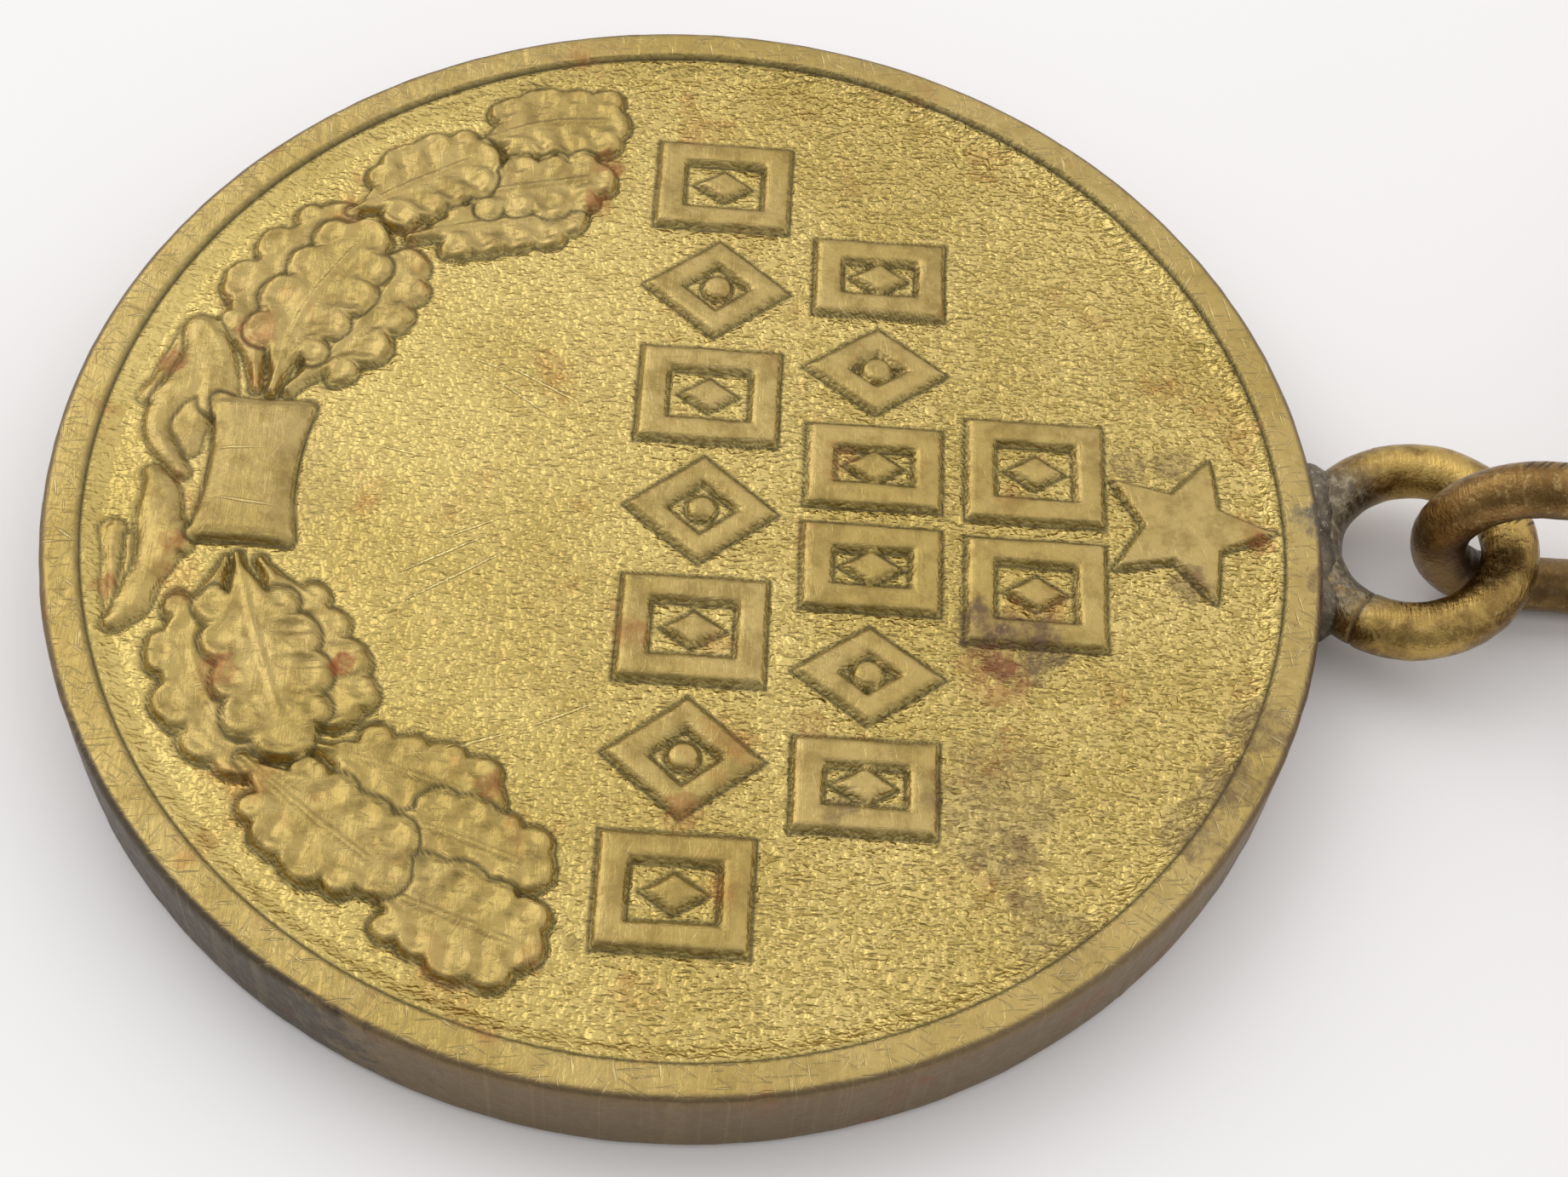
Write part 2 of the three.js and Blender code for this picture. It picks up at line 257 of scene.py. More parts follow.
# Each leaf: stalk end, a point the rib bends through, tip, width, and its height. Later ones lie on
# earlier ones.
LEAVES = (
    ((-2.6, -11.3), (-5.6, -11.5), (-8.9, -9.6), 2.4, 0.16),
    ((-2.6, -10.5), (-4.6, -9.1), (-7.4, -7.75), 2.3, 0.17),
    ((-7.9, -8.0), (-8.6, -6.0), (-9.1, -3.5), 2.3, 0.16),
    ((-11.3, -6.6), (-12.2, -4.9), (-12.6, -2.4), 2.7, 0.2),
    ((-9.3, -7.2), (-9.9, -5.2), (-10.5, -2.8), 2.2, 0.21),
    ((-8.6, -9.6), (-9.9, -7.9), (-11.1, -6.05), 2.7, 0.24),
    ((-2.5, -10.9), (-5.2, -10.4), (-8.2, -8.9), 2.7, 0.27),
    ((2.6, -11.2), (5.4, -11.6), (8.5, -9.7), 2.4, 0.16),
    ((2.6, -10.4), (4.4, -9.1), (7.1, -7.8), 2.3, 0.17),
    ((7.6, -8.5), (8.2, -6.2), (8.9, -4.0), 2.3, 0.16),
    ((9.4, -6.6), (9.8, -4.8), (10.6, -2.7), 2.3, 0.2),
    ((11.1, -6.9), (11.8, -4.8), (12.6, -2.6), 2.7, 0.22),
    ((8.1, -10.0), (9.5, -8.2), (11.0, -6.1), 2.7, 0.25),
    ((2.5, -11.0), (5.2, -10.0), (7.8, -8.9), 2.8, 0.28),
)
# The lobes of each side: where they stand, as shares of the leaf, and their size as a share of the
# largest one's.
LOBES = ((0.27, 0.72), (0.45, 0.95), (0.64, 1.0), (0.82, 0.82))
LOBE_PITCH = 0.183  # from one lobe to the next
LOBE_R = 0.215  # the largest lobe's reach, as a share of the leaf's width
LOBE_SQUASH = 0.9  # a lobe's reach away from the rib over its length along it
STALK_HALF = 0.13  # half the width of the stalk
BLADE = 0.68  # half width of the blade between its lobes, as a share of the leaf's
BLADE_END = 0.93  # where the blade ends and the lobe at the tip goes on, as a share of the leaf
TIP_R = 0.27  # reach of the lobe at the tip, as a share of the leaf's width
LIP_H = 0.065  # height of the leaf's raised edge
LIP_W = 0.12
RIB_H = 0.045
RIB_STEPS = 8  # points of the rib's curve between two given ones


def add_leaf(face, stalk, middle, tip, width, height):
    """An oak leaf: a blade with round lobes that meet in sharp notches, a rib and side veins."""
    rib = curve_through([stalk, middle, tip], RIB_STEPS)
    length = math.dist(stalk, middle) + math.dist(middle, tip)
    where, x, y = face.patch(*middle, 0.5 * length + width)
    off, share, side = along_path(x, y, rib)
    s = share * length
    v = np.copysign(off, side)
    half = width / 2
    fullness = smooth((share - 0.02) / 0.42) * smooth((1.08 - share) / 0.36)
    blade = STALK_HALF + (BLADE * half - STALK_HALF) * fullness
    distance = np.minimum(blade - off, BLADE_END * length - s)
    nearest_lobe = np.full(x.shape, 9.0)
    for place, size in LOBES:
        for sign in (-1, 1):
            uneven = 1 + 0.14 * math.sin(9 * place + 5 * sign + 3 * tip[0])
            lobe_r = LOBE_R * width * size * uneven
            reach = half * (0.46 + 0.54 * size * uneven) - lobe_r
            centre = (place + 0.03 * sign) * length
            gap = np.hypot((s - centre) * LOBE_SQUASH, v * sign - reach)
            distance = np.maximum(distance, lobe_r - gap)
            nearest_lobe = np.minimum(nearest_lobe, gap)
    end_r = TIP_R * width
    end = rib[-1 - round(RIB_STEPS * end_r * 2 / length)]
    distance = np.maximum(distance, end_r - np.hypot(x - end[0], y - end[1]))
    distance = distance + 0.05 * lattice_noise(x, y, 0.45, SEED + 33)
    inner = np.clip(distance, 0, None)
    lip = LIP_H * smooth(inner / LIP_W)
    dish = 0.01 * bump(nearest_lobe, 0.3) + 0.055 * smooth((inner - 0.16) / 0.3)
    on_rib = smooth((0.9 - share) / 0.1)
    ridge = RIB_H * bump(off, 0.06) * on_rib
    furrow = 0.018 * bump(off - 0.15, 0.07) * on_rib
    from_lobe = share - LOBES[0][0] - 0.03 * np.sign(side) - 0.3 * off / length
    wave = np.cos(from_lobe * 2 * math.pi / LOBE_PITCH)
    vein = 0.036 * smooth(-wave - 0.05) * smooth((off - 0.12) / 0.4)
    wrinkle = 0.014 * wave * smooth(off / 0.4) - vein
    crumple = 0.042 * cloudy(x, y, 0.85, SEED + 34) + 0.008 * lattice_noise(x, y, 0.22, SEED + 35)
    rise = 0.75 + 0.25 * smooth(share * 3)
    top = 0.7 * height * rise + 0.01 + lip - dish + ridge - furrow + wrinkle + crumple
    face.lay(where, distance, top, WALL, 0.05, 0.95)


TIE_LEFT = -2.3
TIE_RIGHT = 2.1
TIE_TOP = -9.95
TIE_BOTTOM = -12.05
TIE_MIDDLE = ((TIE_LEFT + TIE_RIGHT) / 2, (TIE_TOP + TIE_BOTTOM) / 2)
TIE_FLARE = 0.3  # how much longer the tie is at its two ends than at its waist
TIE_CORNER_R = 0.3


def add_tie(face):
    half = (TIE_RIGHT - TIE_LEFT) / 2
    where, x, y = face.patch(*TIE_MIDDLE, half + 1)
    x = x - TIE_MIDDLE[0]
    flare = TIE_FLARE * (x / half) ** 2
    across = np.minimum(TIE_TOP + flare - y, y - TIE_BOTTOM + flare)
    waist = 0.08 * (1 - ((y - TIE_MIDDLE[1]) / 1.3) ** 2)
    ends = half - waist - np.abs(x)
    past = np.hypot(np.clip(TIE_CORNER_R - across, 0, None), np.clip(TIE_CORNER_R - ends, 0, None))
    distance = np.where(past > 0, TIE_CORNER_R - past, np.minimum(across, ends))
    top = 0.08 + 0.1 * smooth(across / 0.5) + 0.08 * smooth(ends / 0.35)
    face.lay(where, distance, top + 0.02 * cloudy(x, y, 0.9, SEED + 40), WALL, 0.06)


# The bow, from its lowest fold to its highest: the height, then the bands that make up the fold. A
# band is points of its middle line, each with its width there.
BOW_FOLDS = (
    (0.09, (((-4.3, -13.35, 0.3), (-3.6, -13.5, 0.3), (-2.9, -13.72, 0.34), (-2.2, -13.98, 0.42)),)),
    (0.09, (((1.95, -14.12, 0.55), (2.7, -14.02, 0.34), (3.5, -13.88, 0.36), (4.3, -13.6, 0.5)),)),
    (0.07, (((-2.4, -12.7, 1.1), (-1.5, -12.9, 1.1), (-0.7, -12.75, 0.6)),)),
    (0.12, (((2.1, -13.66, 0.2), (2.9, -13.58, 0.24), (3.8, -13.5, 0.3)),)),
    (0.16, (
        ((-4.35, -12.95, 0.9), (-3.6, -12.7, 1.25), (-2.8, -12.95, 1.15), (-2.1, -13.4, 0.75),
         (-1.3, -13.62, 0.5), (-0.6, -13.3, 0.5), (0.1, -12.75, 0.35)),
        ((-2.1, -12.2, 0.9), (-2.8, -12.35, 1.0), (-3.5, -12.6, 1.1)),
    )),
    (0.16, (
        ((0.2, -13.4, 0.5), (0.75, -13.15, 0.85), (1.6, -13.05, 1.1), (2.5, -12.95, 1.05),
         (3.3, -13.1, 0.75), (4.1, -13.3, 0.8), (4.6, -13.6, 0.5)),
        ((2.2, -12.45, 0.7), (1.9, -12.8, 0.9), (2.5, -13.0, 0.8)),
    )),
)


BOW_REACH = 3.6  # from a fold's middle to past its ends


def band_inside(x, y, points):
    """How far inside a band the points are, and how they stand across it, from -1 to 1."""
    path = curve_through([point[:2] for point in points], 6)
    steps = [math.dist(a[:2], b[:2]) for a, b in zip(points, points[1:])]
    shares = np.cumsum([0, *steps]) / sum(steps)
    off, share, side = along_path(x, y, path)
    half = np.interp(share, shares, [point[2] / 2 for point in points])
    return half - off, np.copysign(off, side) / half


def add_bow(face):
    for height, bands in BOW_FOLDS:
        middle = bands[0][len(bands[0]) // 2]
        where, x, y = face.patch(*middle[:2], BOW_REACH)
        distance = np.full(x.shape, -9.0)
        for points in bands:
            inside, across = band_inside(x, y, points)
            lean = np.where(inside > distance, across, 0)
            distance = np.maximum(distance, inside)
        distance = distance + 0.04 * lattice_noise(x, y, 0.7, SEED + 36)
        fold = 0.075 * cloudy(x, y, 0.9, SEED + 37)
        top = height - 0.03 + 0.07 * smooth(distance / 0.3) + 0.04 * lean + fold
        face.lay(where, distance, top, WALL, 0.04, 0.8)


RIM_FOOT = 0.02  # from the rim's inner edge to the line of dirt and painted shade at its foot
FIELD_LIFT = 0.2  # how far the field climbs as it comes to the rim


def rim_share(r):
    return smooth((r - INNER_R + 0.02) / 0.1)


# a dark line at the rim's foot: dirt, and shade painted in where the rim's wall meets the field
def rim_dirt_and_shade(r):
    return bump(r - INNER_R + RIM_FOOT, 0.055)


def rim_profile(r):
    """Height of the plain rim, and of the field's climb to it, at a distance from the middle."""
    step = (FIELD_DEPTH - FIELD_LIFT) * smooth((r - INNER_R + 0.03) / 0.07)
    rise = FIELD_LIFT * smooth((r - INNER_R + 0.6) / 0.58) + step
    groove = 0.03 * bump(r - INNER_R + 0.05, 0.05)
    crown = 0.02 * ((r - (INNER_R + DISC_R) / 2) / (RIM_W / 2)) ** 4 * (r > INNER_R)
    return rise - groove - crown


def rim_wear(x, y, r):
    """Light nicks that run across the rim, with dents along it."""
    around = np.arctan2(y, x) * DISC_R
    nicks = lattice_noise(around, r, 0.22, SEED + 14) * lattice_noise(around, 0 * r, 1.6, SEED + 15)
    cross = np.clip(lattice_noise(around + 0.15 * r, 0 * r, 0.16, SEED + 16) - 0.45, 0, 1)
    return 0.014 * cloudy(x, y, 0.8, SEED + 9) - 0.03 * np.clip(nicks, 0, 1) - 0.045 * cross


def coarseness(y):
    """The grain of the field is finer towards the wreath."""
    return 0.5 + 0.5 * smooth((y + 10) / 17)


PEEL_H = 0.022  # height of the field's grain
PEEL_CELL = 0.24


def front_relief(x, y):
    """The face's height above the field, its share of device and rim, its dirt and painted shade, its
    grain, and the rim's share alone."""
    face = Struck(x, y)
    add_star(face)
    add_ornament(face)
    for leaf in LEAVES:
        add_leaf(face, *leaf)
    add_bow(face)
    add_tie(face)
    r = np.hypot(x, y)
    rim = rim_share(r)
    plain = (1 - face.device) * (1 - rim)
    wander = 0.12 * lattice_noise(x, y, 0.5, SEED + 4)
    peel = 1 - 2 * np.abs(lattice_noise(x + wander, y - wander, PEEL_CELL, SEED))
    face.height += PEEL_H * peel * plain * coarseness(y)
    face.height += 0.004 * cloudy(x, y, 1.4, SEED + 3)
    face.height += 0.012 * cloudy(x, y, 5.0, SEED + 6) * plain
    low = smooth((RELIEF - face.height) / RELIEF)
    face.height = np.where(r > INNER_R - 0.05, rim_profile(r), face.height + rim_profile(r) * low)
    face.height += rim_wear(x, y, r) * rim
    dirt_and_shade = np.maximum(face.dirt_and_shade, rim_dirt_and_shade(r))
    return face.height, np.maximum(face.device, rim), dirt_and_shade, peel * plain, rim


REVERSE_STAR = (0, 0, 6, 2.6)  # middle, radius and waist of the star on the reverse


def reverse_relief(x, y):
    """The reverse's height above its field, FIELD_DEPTH below the rim, its device and its dirt and
    painted shade.
    """
    face = Struck(x, y)
    distance = inside_polygon(x, y, star_corners(*REVERSE_STAR))
    face.lay(np.ones(x.shape, bool), distance, FIELD_DEPTH, 0.3, 0.03)
    r = np.hypot(x, y)
    rim = rim_share(r)
    plain = (1 - face.device) * (1 - rim)
    face.height += 0.01 * lattice_noise(x, y, 0.3, SEED + 12) * plain
    face.height = np.where(r > INNER_R - 0.3, np.maximum(face.height, rim_profile(r)), face.height)
    face.height = np.minimum(face.height, FIELD_DEPTH)
    return face.height, np.maximum(face.device, rim), np.maximum(face.dirt_and_shade, rim_dirt_and_shade(r))


# ---- meshes ----
def new_object(name, mesh):
    thing = bpy.data.objects.new(name, mesh)
    bpy.context.scene.collection.objects.link(thing)
    return thing


def mesh_from_arrays(name, points, faces):
    """A mesh from points in mm and arrays of faces, each array with one number of corners."""
    mesh = bpy.data.meshes.new(name)
    corners = np.concatenate([np.asarray(f).ravel() for f in faces]).astype(np.int32)
    sizes = np.concatenate([np.full(len(f), np.shape(f)[1]) for f in faces])
    starts = np.concatenate([[0], np.cumsum(sizes)[:-1]]).astype(np.int32)
    mesh.vertices.add(len(points))
    mesh.vertices.foreach_set("co", (np.asarray(points) * MM).astype(np.float32).ravel())
    mesh.loops.add(len(corners))
    mesh.loops.foreach_set("vertex_index", corners)
    mesh.polygons.add(len(sizes))
    mesh.polygons.foreach_set("loop_start", starts)
    mesh.polygons.foreach_set("use_smooth", np.ones(len(sizes), bool))
    mesh.update(calc_edges=True)
    mesh.validate()
    return mesh


def add_values(mesh, name, values):
    held = mesh.attributes.new(name, "FLOAT", "POINT")
    held.data.foreach_set("value", np.asarray(values, np.float32))


def disc_grid(rings):
    """A square grid drawn onto a disc: each point's share of the radius and angle, the faces, and
    the points of the outermost ring in order."""
    side = np.arange(-rings, rings + 1)
    a, b = np.meshgrid(side, side, indexing="ij")
    a = a.ravel().astype(float)
    b = b.ravel().astype(float)
    wide = np.abs(a) >= np.abs(b)
    far = np.where(wide, a, b)
    near = np.where(wide, b, a)
    ratio = near / np.where(far == 0, 1, far)
    angle = np.where(wide, ratio, 2 - ratio) * math.pi / 4
    angle = np.where(far < 0, angle + math.pi, angle)
    share = np.abs(far) / rings
    across = 2 * rings + 1
    i, j = np.meshgrid(np.arange(across - 1), np.arange(across - 1), indexing="ij")
    first = (i * across + j).ravel()
    faces = np.stack([first, first + across, first + across + 1, first + 1], 1)
    edge = np.flatnonzero(share > 1 - 1e-9)
    order = np.argsort(np.mod(angle[edge] + math.pi / 4, 2 * math.pi), kind="stable")
    return share, angle, faces, edge[order]


EDGE_R = 0.22  # rounding between the rim and the side wall
FLAT_R = DISC_R - EDGE_R
BACK_Z = 0.02  # how far the reverse's rim stands above the table
FRONT_RINGS = 230
WALL_RINGS = 9
WALL_WEAR = 0.012


def edge_rings(turn, top):
    """Rings of points down the side wall, under the front's outermost ring."""
    low = BACK_Z + EDGE_R
    over = [(math.sin(t), top - EDGE_R * (1 - math.cos(t))) for t in (0.5, 1.0, math.pi / 2)]
    wall = [(1, z) for z in np.linspace(top - EDGE_R, low, WALL_RINGS)[1:]]
    under = [(math.cos(t), low - EDGE_R * math.sin(t)) for t in (0.6, 1.1)]
    rings = []
    for reach, z in over + wall + under:
        level = np.full(turn.shape, z)
        wear = WALL_WEAR * lattice_noise(turn * DISC_R, level, 0.5, SEED + 20)
        r = FLAT_R + EDGE_R * reach + wear * (z < top - 0.05) - WALL_WEAR
        rings.append(np.stack([r * np.cos(turn), r * np.sin(turn), level], 1))
    return rings


def build_disc():
    share, angle, faces, front_edge = disc_grid(FRONT_RINGS)
    x = share * FLAT_R * np.cos(angle)
    y = share * FLAT_R * np.sin(angle)
    height, device, dirt_and_shade, peel, rim = front_relief(x, y)
    front = np.stack([x, y, FIELD_Z + height], 1)

    back_share, back_angle, back_faces, back_edge = disc_grid(FRONT_RINGS // 2)
    bx = back_share * FLAT_R * np.cos(back_angle)
    by = back_share * FLAT_R * np.sin(back_angle)
    back_height, back_device, back_dirt_and_shade = reverse_relief(bx, by)
    back = np.stack([bx, by, FIELD_DEPTH - back_height], 1)

    edge = edge_rings(angle[front_edge], float(front[front_edge, 2].mean()))
    count = len(front_edge)
    around = np.arange(count)
    after = np.roll(around, -1)
    above = front_edge
    skin = [faces]
    for k in range(len(edge)):
        below = len(front) + k * count + around
        skin.append(np.stack([above, below, below[after], above[after]], 1))
        above = below
    start = len(front) + len(edge) * count
    back_ring = start + back_edge
    pick = 2 * np.arange(len(back_edge))
    stitch = np.stack([above[pick], back_ring, np.roll(back_ring, -1),
                       above[(pick + 2) % count], above[pick + 1]], 1)
    skin.append(back_faces[:, ::-1] + start)
    points = np.concatenate([front, *edge, back])
    mesh = mesh_from_arrays("medal", points, [np.concatenate(skin), stitch])
    side = np.zeros(len(edge) * count)
    none = np.zeros(len(back))
    for name, on_front, on_wall, on_back in (
        ("device", device, side + 1, back_device),
        ("dirt_and_shade", dirt_and_shade, side, back_dirt_and_shade),
        ("peel", peel, side, none),
        ("rim", rim, side, none),
        ("wall", 0 * dirt_and_shade, side + 1, none),
        ("coarse", coarseness(y), side, coarseness(by)),
    ):
        add_values(mesh, name, np.concatenate([on_front, on_wall, on_back]))
    return new_object("medal", mesh)


# ---- the wire pieces ----
ring_low, ring_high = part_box("suspension_ring")
WIRE_R = (ring_high.x - ring_low.x) / 2 / MM
AXIS_X = (ring_high.x + ring_low.x) / 2 / MM
RING_R = (ring_high.z - ring_low.z) / 2 / MM - WIRE_R
RING_NEAR_Y = ring_low.y / MM + WIRE_R
RING_FAR_Y = ring_high.y / MM - WIRE_R
RING_Z = (ring_high.z + ring_low.z) / 2 / MM

ROOT_Y = DISC_R + 0.1  # middle of the eyelet's wire where it is soldered to the disc
EDGE_GAP = 0.02  # between the disc's edge and what is soldered to it


def place_of(joint_name):
    joint = next(j for j in frame["joints"] if j["name"] == joint_name)
    return np.array(joint["pos_m"]) / MM, np.array(joint["axis"])


def tube_mesh(name, rings, closed):
    """A skin over rings of points, each of which goes once round the tube."""
    count, sides, _ = rings.shape
    i, j = np.meshgrid(np.arange(count if closed else count - 1), np.arange(sides), indexing="ij")
    after = (i + 1) % count
    beside = (j + 1) % sides
    quads = np.stack([i * sides + j, i * sides + beside, after * sides + beside, after * sides + j], -1)
    faces = [quads.reshape(-1, 4)]
    points = rings.reshape(-1, 3)
    if not closed:
        ends = np.stack([rings[0].mean(0), rings[-1].mean(0)])
        points = np.concatenate([points, ends])
        side = np.arange(sides)
        near = np.stack([np.full(sides, count * sides), (side + 1) % sides, side], 1)
        last = (count - 1) * sides
        far = np.stack([np.full(sides, count * sides + 1), last + side, last + (side + 1) % sides], 1)
        faces += [near, far]
    return mesh_from_arrays(name, points, faces)


def wire_rings(path, across, sideways, radius, sides):
    """Rings of wire about a path, given two directions square to it at each point."""
    turn = np.linspace(0, 2 * math.pi, sides, endpoint=False)
    c = np.cos(turn)[None, :, None]
    s = np.sin(turn)[None, :, None]
    circle = c * across[:, None, :] + s * sideways[:, None, :]
    return path[:, None, :] + radius[:, None, None] * circle


def outside_disc(points):
    """Points that would be inside the disc's edge, moved out to it."""
    r = np.hypot(points[..., 0], points[..., 1])
    grow = np.maximum(1.0, (DISC_R + EDGE_GAP) / r)
    return points * np.stack([grow, grow, np.ones_like(grow)], -1)


def wire_dents(x, y, z, seed):
    dents = lattice_noise(x + z, y - z, 1.1, seed) + 0.5 * lattice_noise(x - z, y + z, 0.45, seed + 1)
    return 0.016 * dents


def dented(rings, path, share, seed):
    """Rings of wire with small dents in its skin."""
    x, y, z = np.moveaxis(rings * 1.7, -1, 0)
    dents = wire_dents(x, y, z, seed)
    return rings + share * dents[..., None] * (rings - path[:, None, :])


WIRE_SIDES = 44  # points round a wire
ACROSS = np.array([1.0, 0, 0])
BUTT_TURN = math.radians(56)  # where the eyelet's two ends meet, from its root
TIN_REACH = 2.8  # how far solder has run up the eyelet


def build_eyelet():
    """A round eyelet of bent wire, butted at its lower right and soldered to the disc's edge."""
    far, _ = place_of("medal_swing")
    root = np.array([AXIS_X, ROOT_Y, DISC_T / 2])
    rise = far - root
    radius = np.linalg.norm(rise) / 2
    up = rise / (2 * radius)
    out = np.array([0, -up[2], up[1]])
    turn = np.linspace(0, 2 * math.pi, 360, endpoint=False)
    outward = np.sin(turn)[:, None] * ACROSS - np.cos(turn)[:, None] * up
    path = root + up * radius + radius * outward
    butt = bump((turn - BUTT_TURN) * radius, 0.03)
    wire = WIRE_R - 0.06 * butt + wire_dents(path[:, 0], path[:, 1], turn, SEED + 50)
    rings = wire_rings(path, outward, np.broadcast_to(out, path.shape), wire, WIRE_SIDES)
    rings = dented(rings, path, 1, SEED + 52)
    mesh = tube_mesh("eyelet_wire", outside_disc(rings), True)
    from_root = np.hypot(rings[..., 0] - AXIS_X, rings[..., 1] - ROOT_Y)
    add_values(mesh, "grime_and_shade", (0.9 * butt[:, None] + 0 * from_root).ravel())
    add_values(mesh, "tinned", smooth(TIN_REACH - from_root).ravel())
    add_values(mesh, "worn", np.ones(from_root.size))
    return new_object("eyelet_wire", mesh)


def build_solder():
    """An uneven lump of solder that fills the corners between the eyelet and the disc."""
    steps = 120
    sides = 72
    along = np.linspace(-1, 1, steps + 2)[1:-1]
    turn = np.linspace(0, 2 * math.pi, sides, endpoint=False)
    fullness = (1 - np.abs(along) ** 5) ** 0.5
    fillets = 0.58 + 0.3 * bump(np.abs(along) - 0.7, 0.2)
    slump = 0.08 * cloudy(along * 3, 0 * along, 0.8, SEED + 60)
    x = AXIS_X - 0.1 + 2.65 * along[:, None] + 0 * turn
    y = DISC_R + 0.05 + (fillets * fullness + slump)[:, None] * np.cos(turn)
    z = DISC_T / 2 - 0.02 + (0.92 * fullness + slump)[:, None] * np.sin(turn)
    lumps = 0.07 * cloudy(x, y * 1.5 + z * 1.5, 0.9, SEED + 62)
    lumps = lumps + 0.02 * lattice_noise(x, y + z, 0.3, SEED + 64)
    y = y + lumps * np.cos(turn)
    z = z + lumps * np.sin(turn)
    mesh = tube_mesh("solder_lump", outside_disc(np.stack([x, y, z], -1)), False)
    return new_object("solder_lump", mesh)


def build_ring():
    """An oblong ring of wire: two half circles and two straight arms, butted in its lower arm."""
    arc = np.linspace(0, math.pi, 110, endpoint=False)
    arm = np.linspace(0, 1, 70, endpoint=False)
    near_y = RING_NEAR_Y + RING_R
    far_y = RING_FAR_Y - RING_R
    run = far_y - near_y
    straight = np.ones_like(arm)
    y = np.concatenate([near_y - RING_R * np.sin(arc), near_y + run * arm,
                        far_y + RING_R * np.sin(arc), far_y - run * arm])
    out_z = np.concatenate([-np.cos(arc), straight, np.cos(arc), -straight])
    z = out_z * RING_R + RING_Z
    out_y = np.concatenate([-np.sin(arc), 0 * arm, np.sin(arc), 0 * arm])
    path = np.stack([np.full(y.shape, AXIS_X), y, z], 1)
    outward = np.stack([0 * y, out_y, out_z], 1)
    butt = bump(y - (near_y + far_y) / 2, 0.05) * (z < RING_Z)
    wire = WIRE_R - 0.012 - 0.08 * butt + 0.6 * wire_dents(y, z, y, SEED + 66)
    rings = wire_rings(path, outward, np.broadcast_to(ACROSS, path.shape), wire, WIRE_SIDES)
    rings = dented(rings, path, 0.8, SEED + 68)
    mesh = tube_mesh("oblong_ring", rings, True)
    outwards = (rings[..., 2] - path[:, None, 2]) * np.sign(out_z)[:, None]
    # painted shade, with some grime: the ring's inner side is darker all round, most near the eyelet
    inside = smooth((0.1 - outwards) / 0.5)
    inner_grime_and_shade = 0.45 + 0.45 * smooth((near_y + 0.6 - y) / 1.5)
    add_values(mesh, "grime_and_shade", np.maximum(butt[:, None] + 0 * inside, inner_grime_and_shade[:, None] * inside).ravel())
    return new_object("oblong_ring", mesh)


# ---- the mount, in its own axes: x across, y up from the ring's hole, z out of its front ----
BRIDGE_PLACE, _ = place_of("ring_swing")
_, PIN_AXIS = place_of("pin_open")
UP = np.array([0, PIN_AXIS[1], PIN_AXIS[2]])
OUT = np.array([0, -PIN_AXIS[2], PIN_AXIS[1]])


def on_mount(points):
    """Points in the mount's axes, in mm, brought to the row frame."""
    points = np.asarray(points, float)
    return BRIDGE_PLACE + points[..., :1] * ACROSS + points[..., 1:2] * UP + points[..., 2:3] * OUT


def off_mount(points):
    """Points in the row frame, in mm, brought to the mount's axes."""
    shift = np.asarray(points, float) - BRIDGE_PLACE
    return np.stack([shift[..., 0], shift @ UP, shift @ OUT], -1)


def softened(node_name, name, radius):
    """A copy of a CAD piece with its flat faces made whole and its sharp edges rounded."""
    mesh = frame["nodes"][node_name].data.copy()
    mesh.name = name
    work = bmesh.new()
    work.from_mesh(mesh)
    bmesh.ops.remove_doubles(work, verts=work.verts, dist=1e-6)
    bmesh.ops.dissolve_limit(work, angle_limit=math.radians(1), verts=work.verts, edges=work.edges)
    sharp = [e for e in work.edges if len(e.link_faces) == 2 and e.calc_face_angle() > math.radians(35)]
    bmesh.ops.bevel(work, geom=sharp, offset=radius * MM, segments=2, profile=0.5,
                    affect="EDGES", clamp_overlap=True)
    bmesh.ops.triangulate(work, faces=[f for f in work.faces if len(f.verts) > 4])
    for face in work.faces:
        face.smooth = True
    work.to_mesh(mesh)
    work.free()
    mesh.materials.clear()
    mesh.set_sharp_from_angle(angle=math.radians(38))
    return new_object(name, mesh)


def pentagon_corners():
    """The mount plate's five corners, as its straight sides would meet."""
    points = np.array([v.co for v in frame["nodes"]["mount_plate"].data.vertices]) / MM
    local = off_mount(points)
    top = local[:, 1].max()
    top_half = np.abs(local[local[:, 1] > top - 0.01, 0]).max()
    side_half = np.abs(local[:, 0]).max()
    side_y = local[np.abs(local[:, 0]) > side_half - 0.01, 1].mean()
    foot = math.sqrt(MOUNT_FOOT**2 - side_half**2)
    return side_half, side_y, top_half, top, side_y - foot


MOUNT_FOOT = 26.0  # length of the two sides that meet at the lower corner
SIDE_X, SIDE_Y, TOP_X, TOP_Y, CORNER_Y = pentagon_corners()
HOLE_Y = 2.15
NOTCH_R = 4.0

# ---- the ribbon: two slanting legs along the long sides, and a straight band over them ----
RIBBON_W = 24.0
SILK_T = 0.24
FOOT_FLAP = 5.0
TOP_FLAP = 9.0
LAYERS = (0.75, 1.0)  # from the middle of the plate to the middle of the legs, and of the band
FOLD_REACH = 0.5  # how far a fold stands past the plate's edge
COLUMNS = 64  # points across a strip
ROWS = 230  # points along it
SLANT = math.atan2(SIDE_X - TOP_X, TOP_Y - SIDE_Y)
FOOT_SLOPE = math.atan2(SIDE_Y - CORNER_Y, SIDE_X)


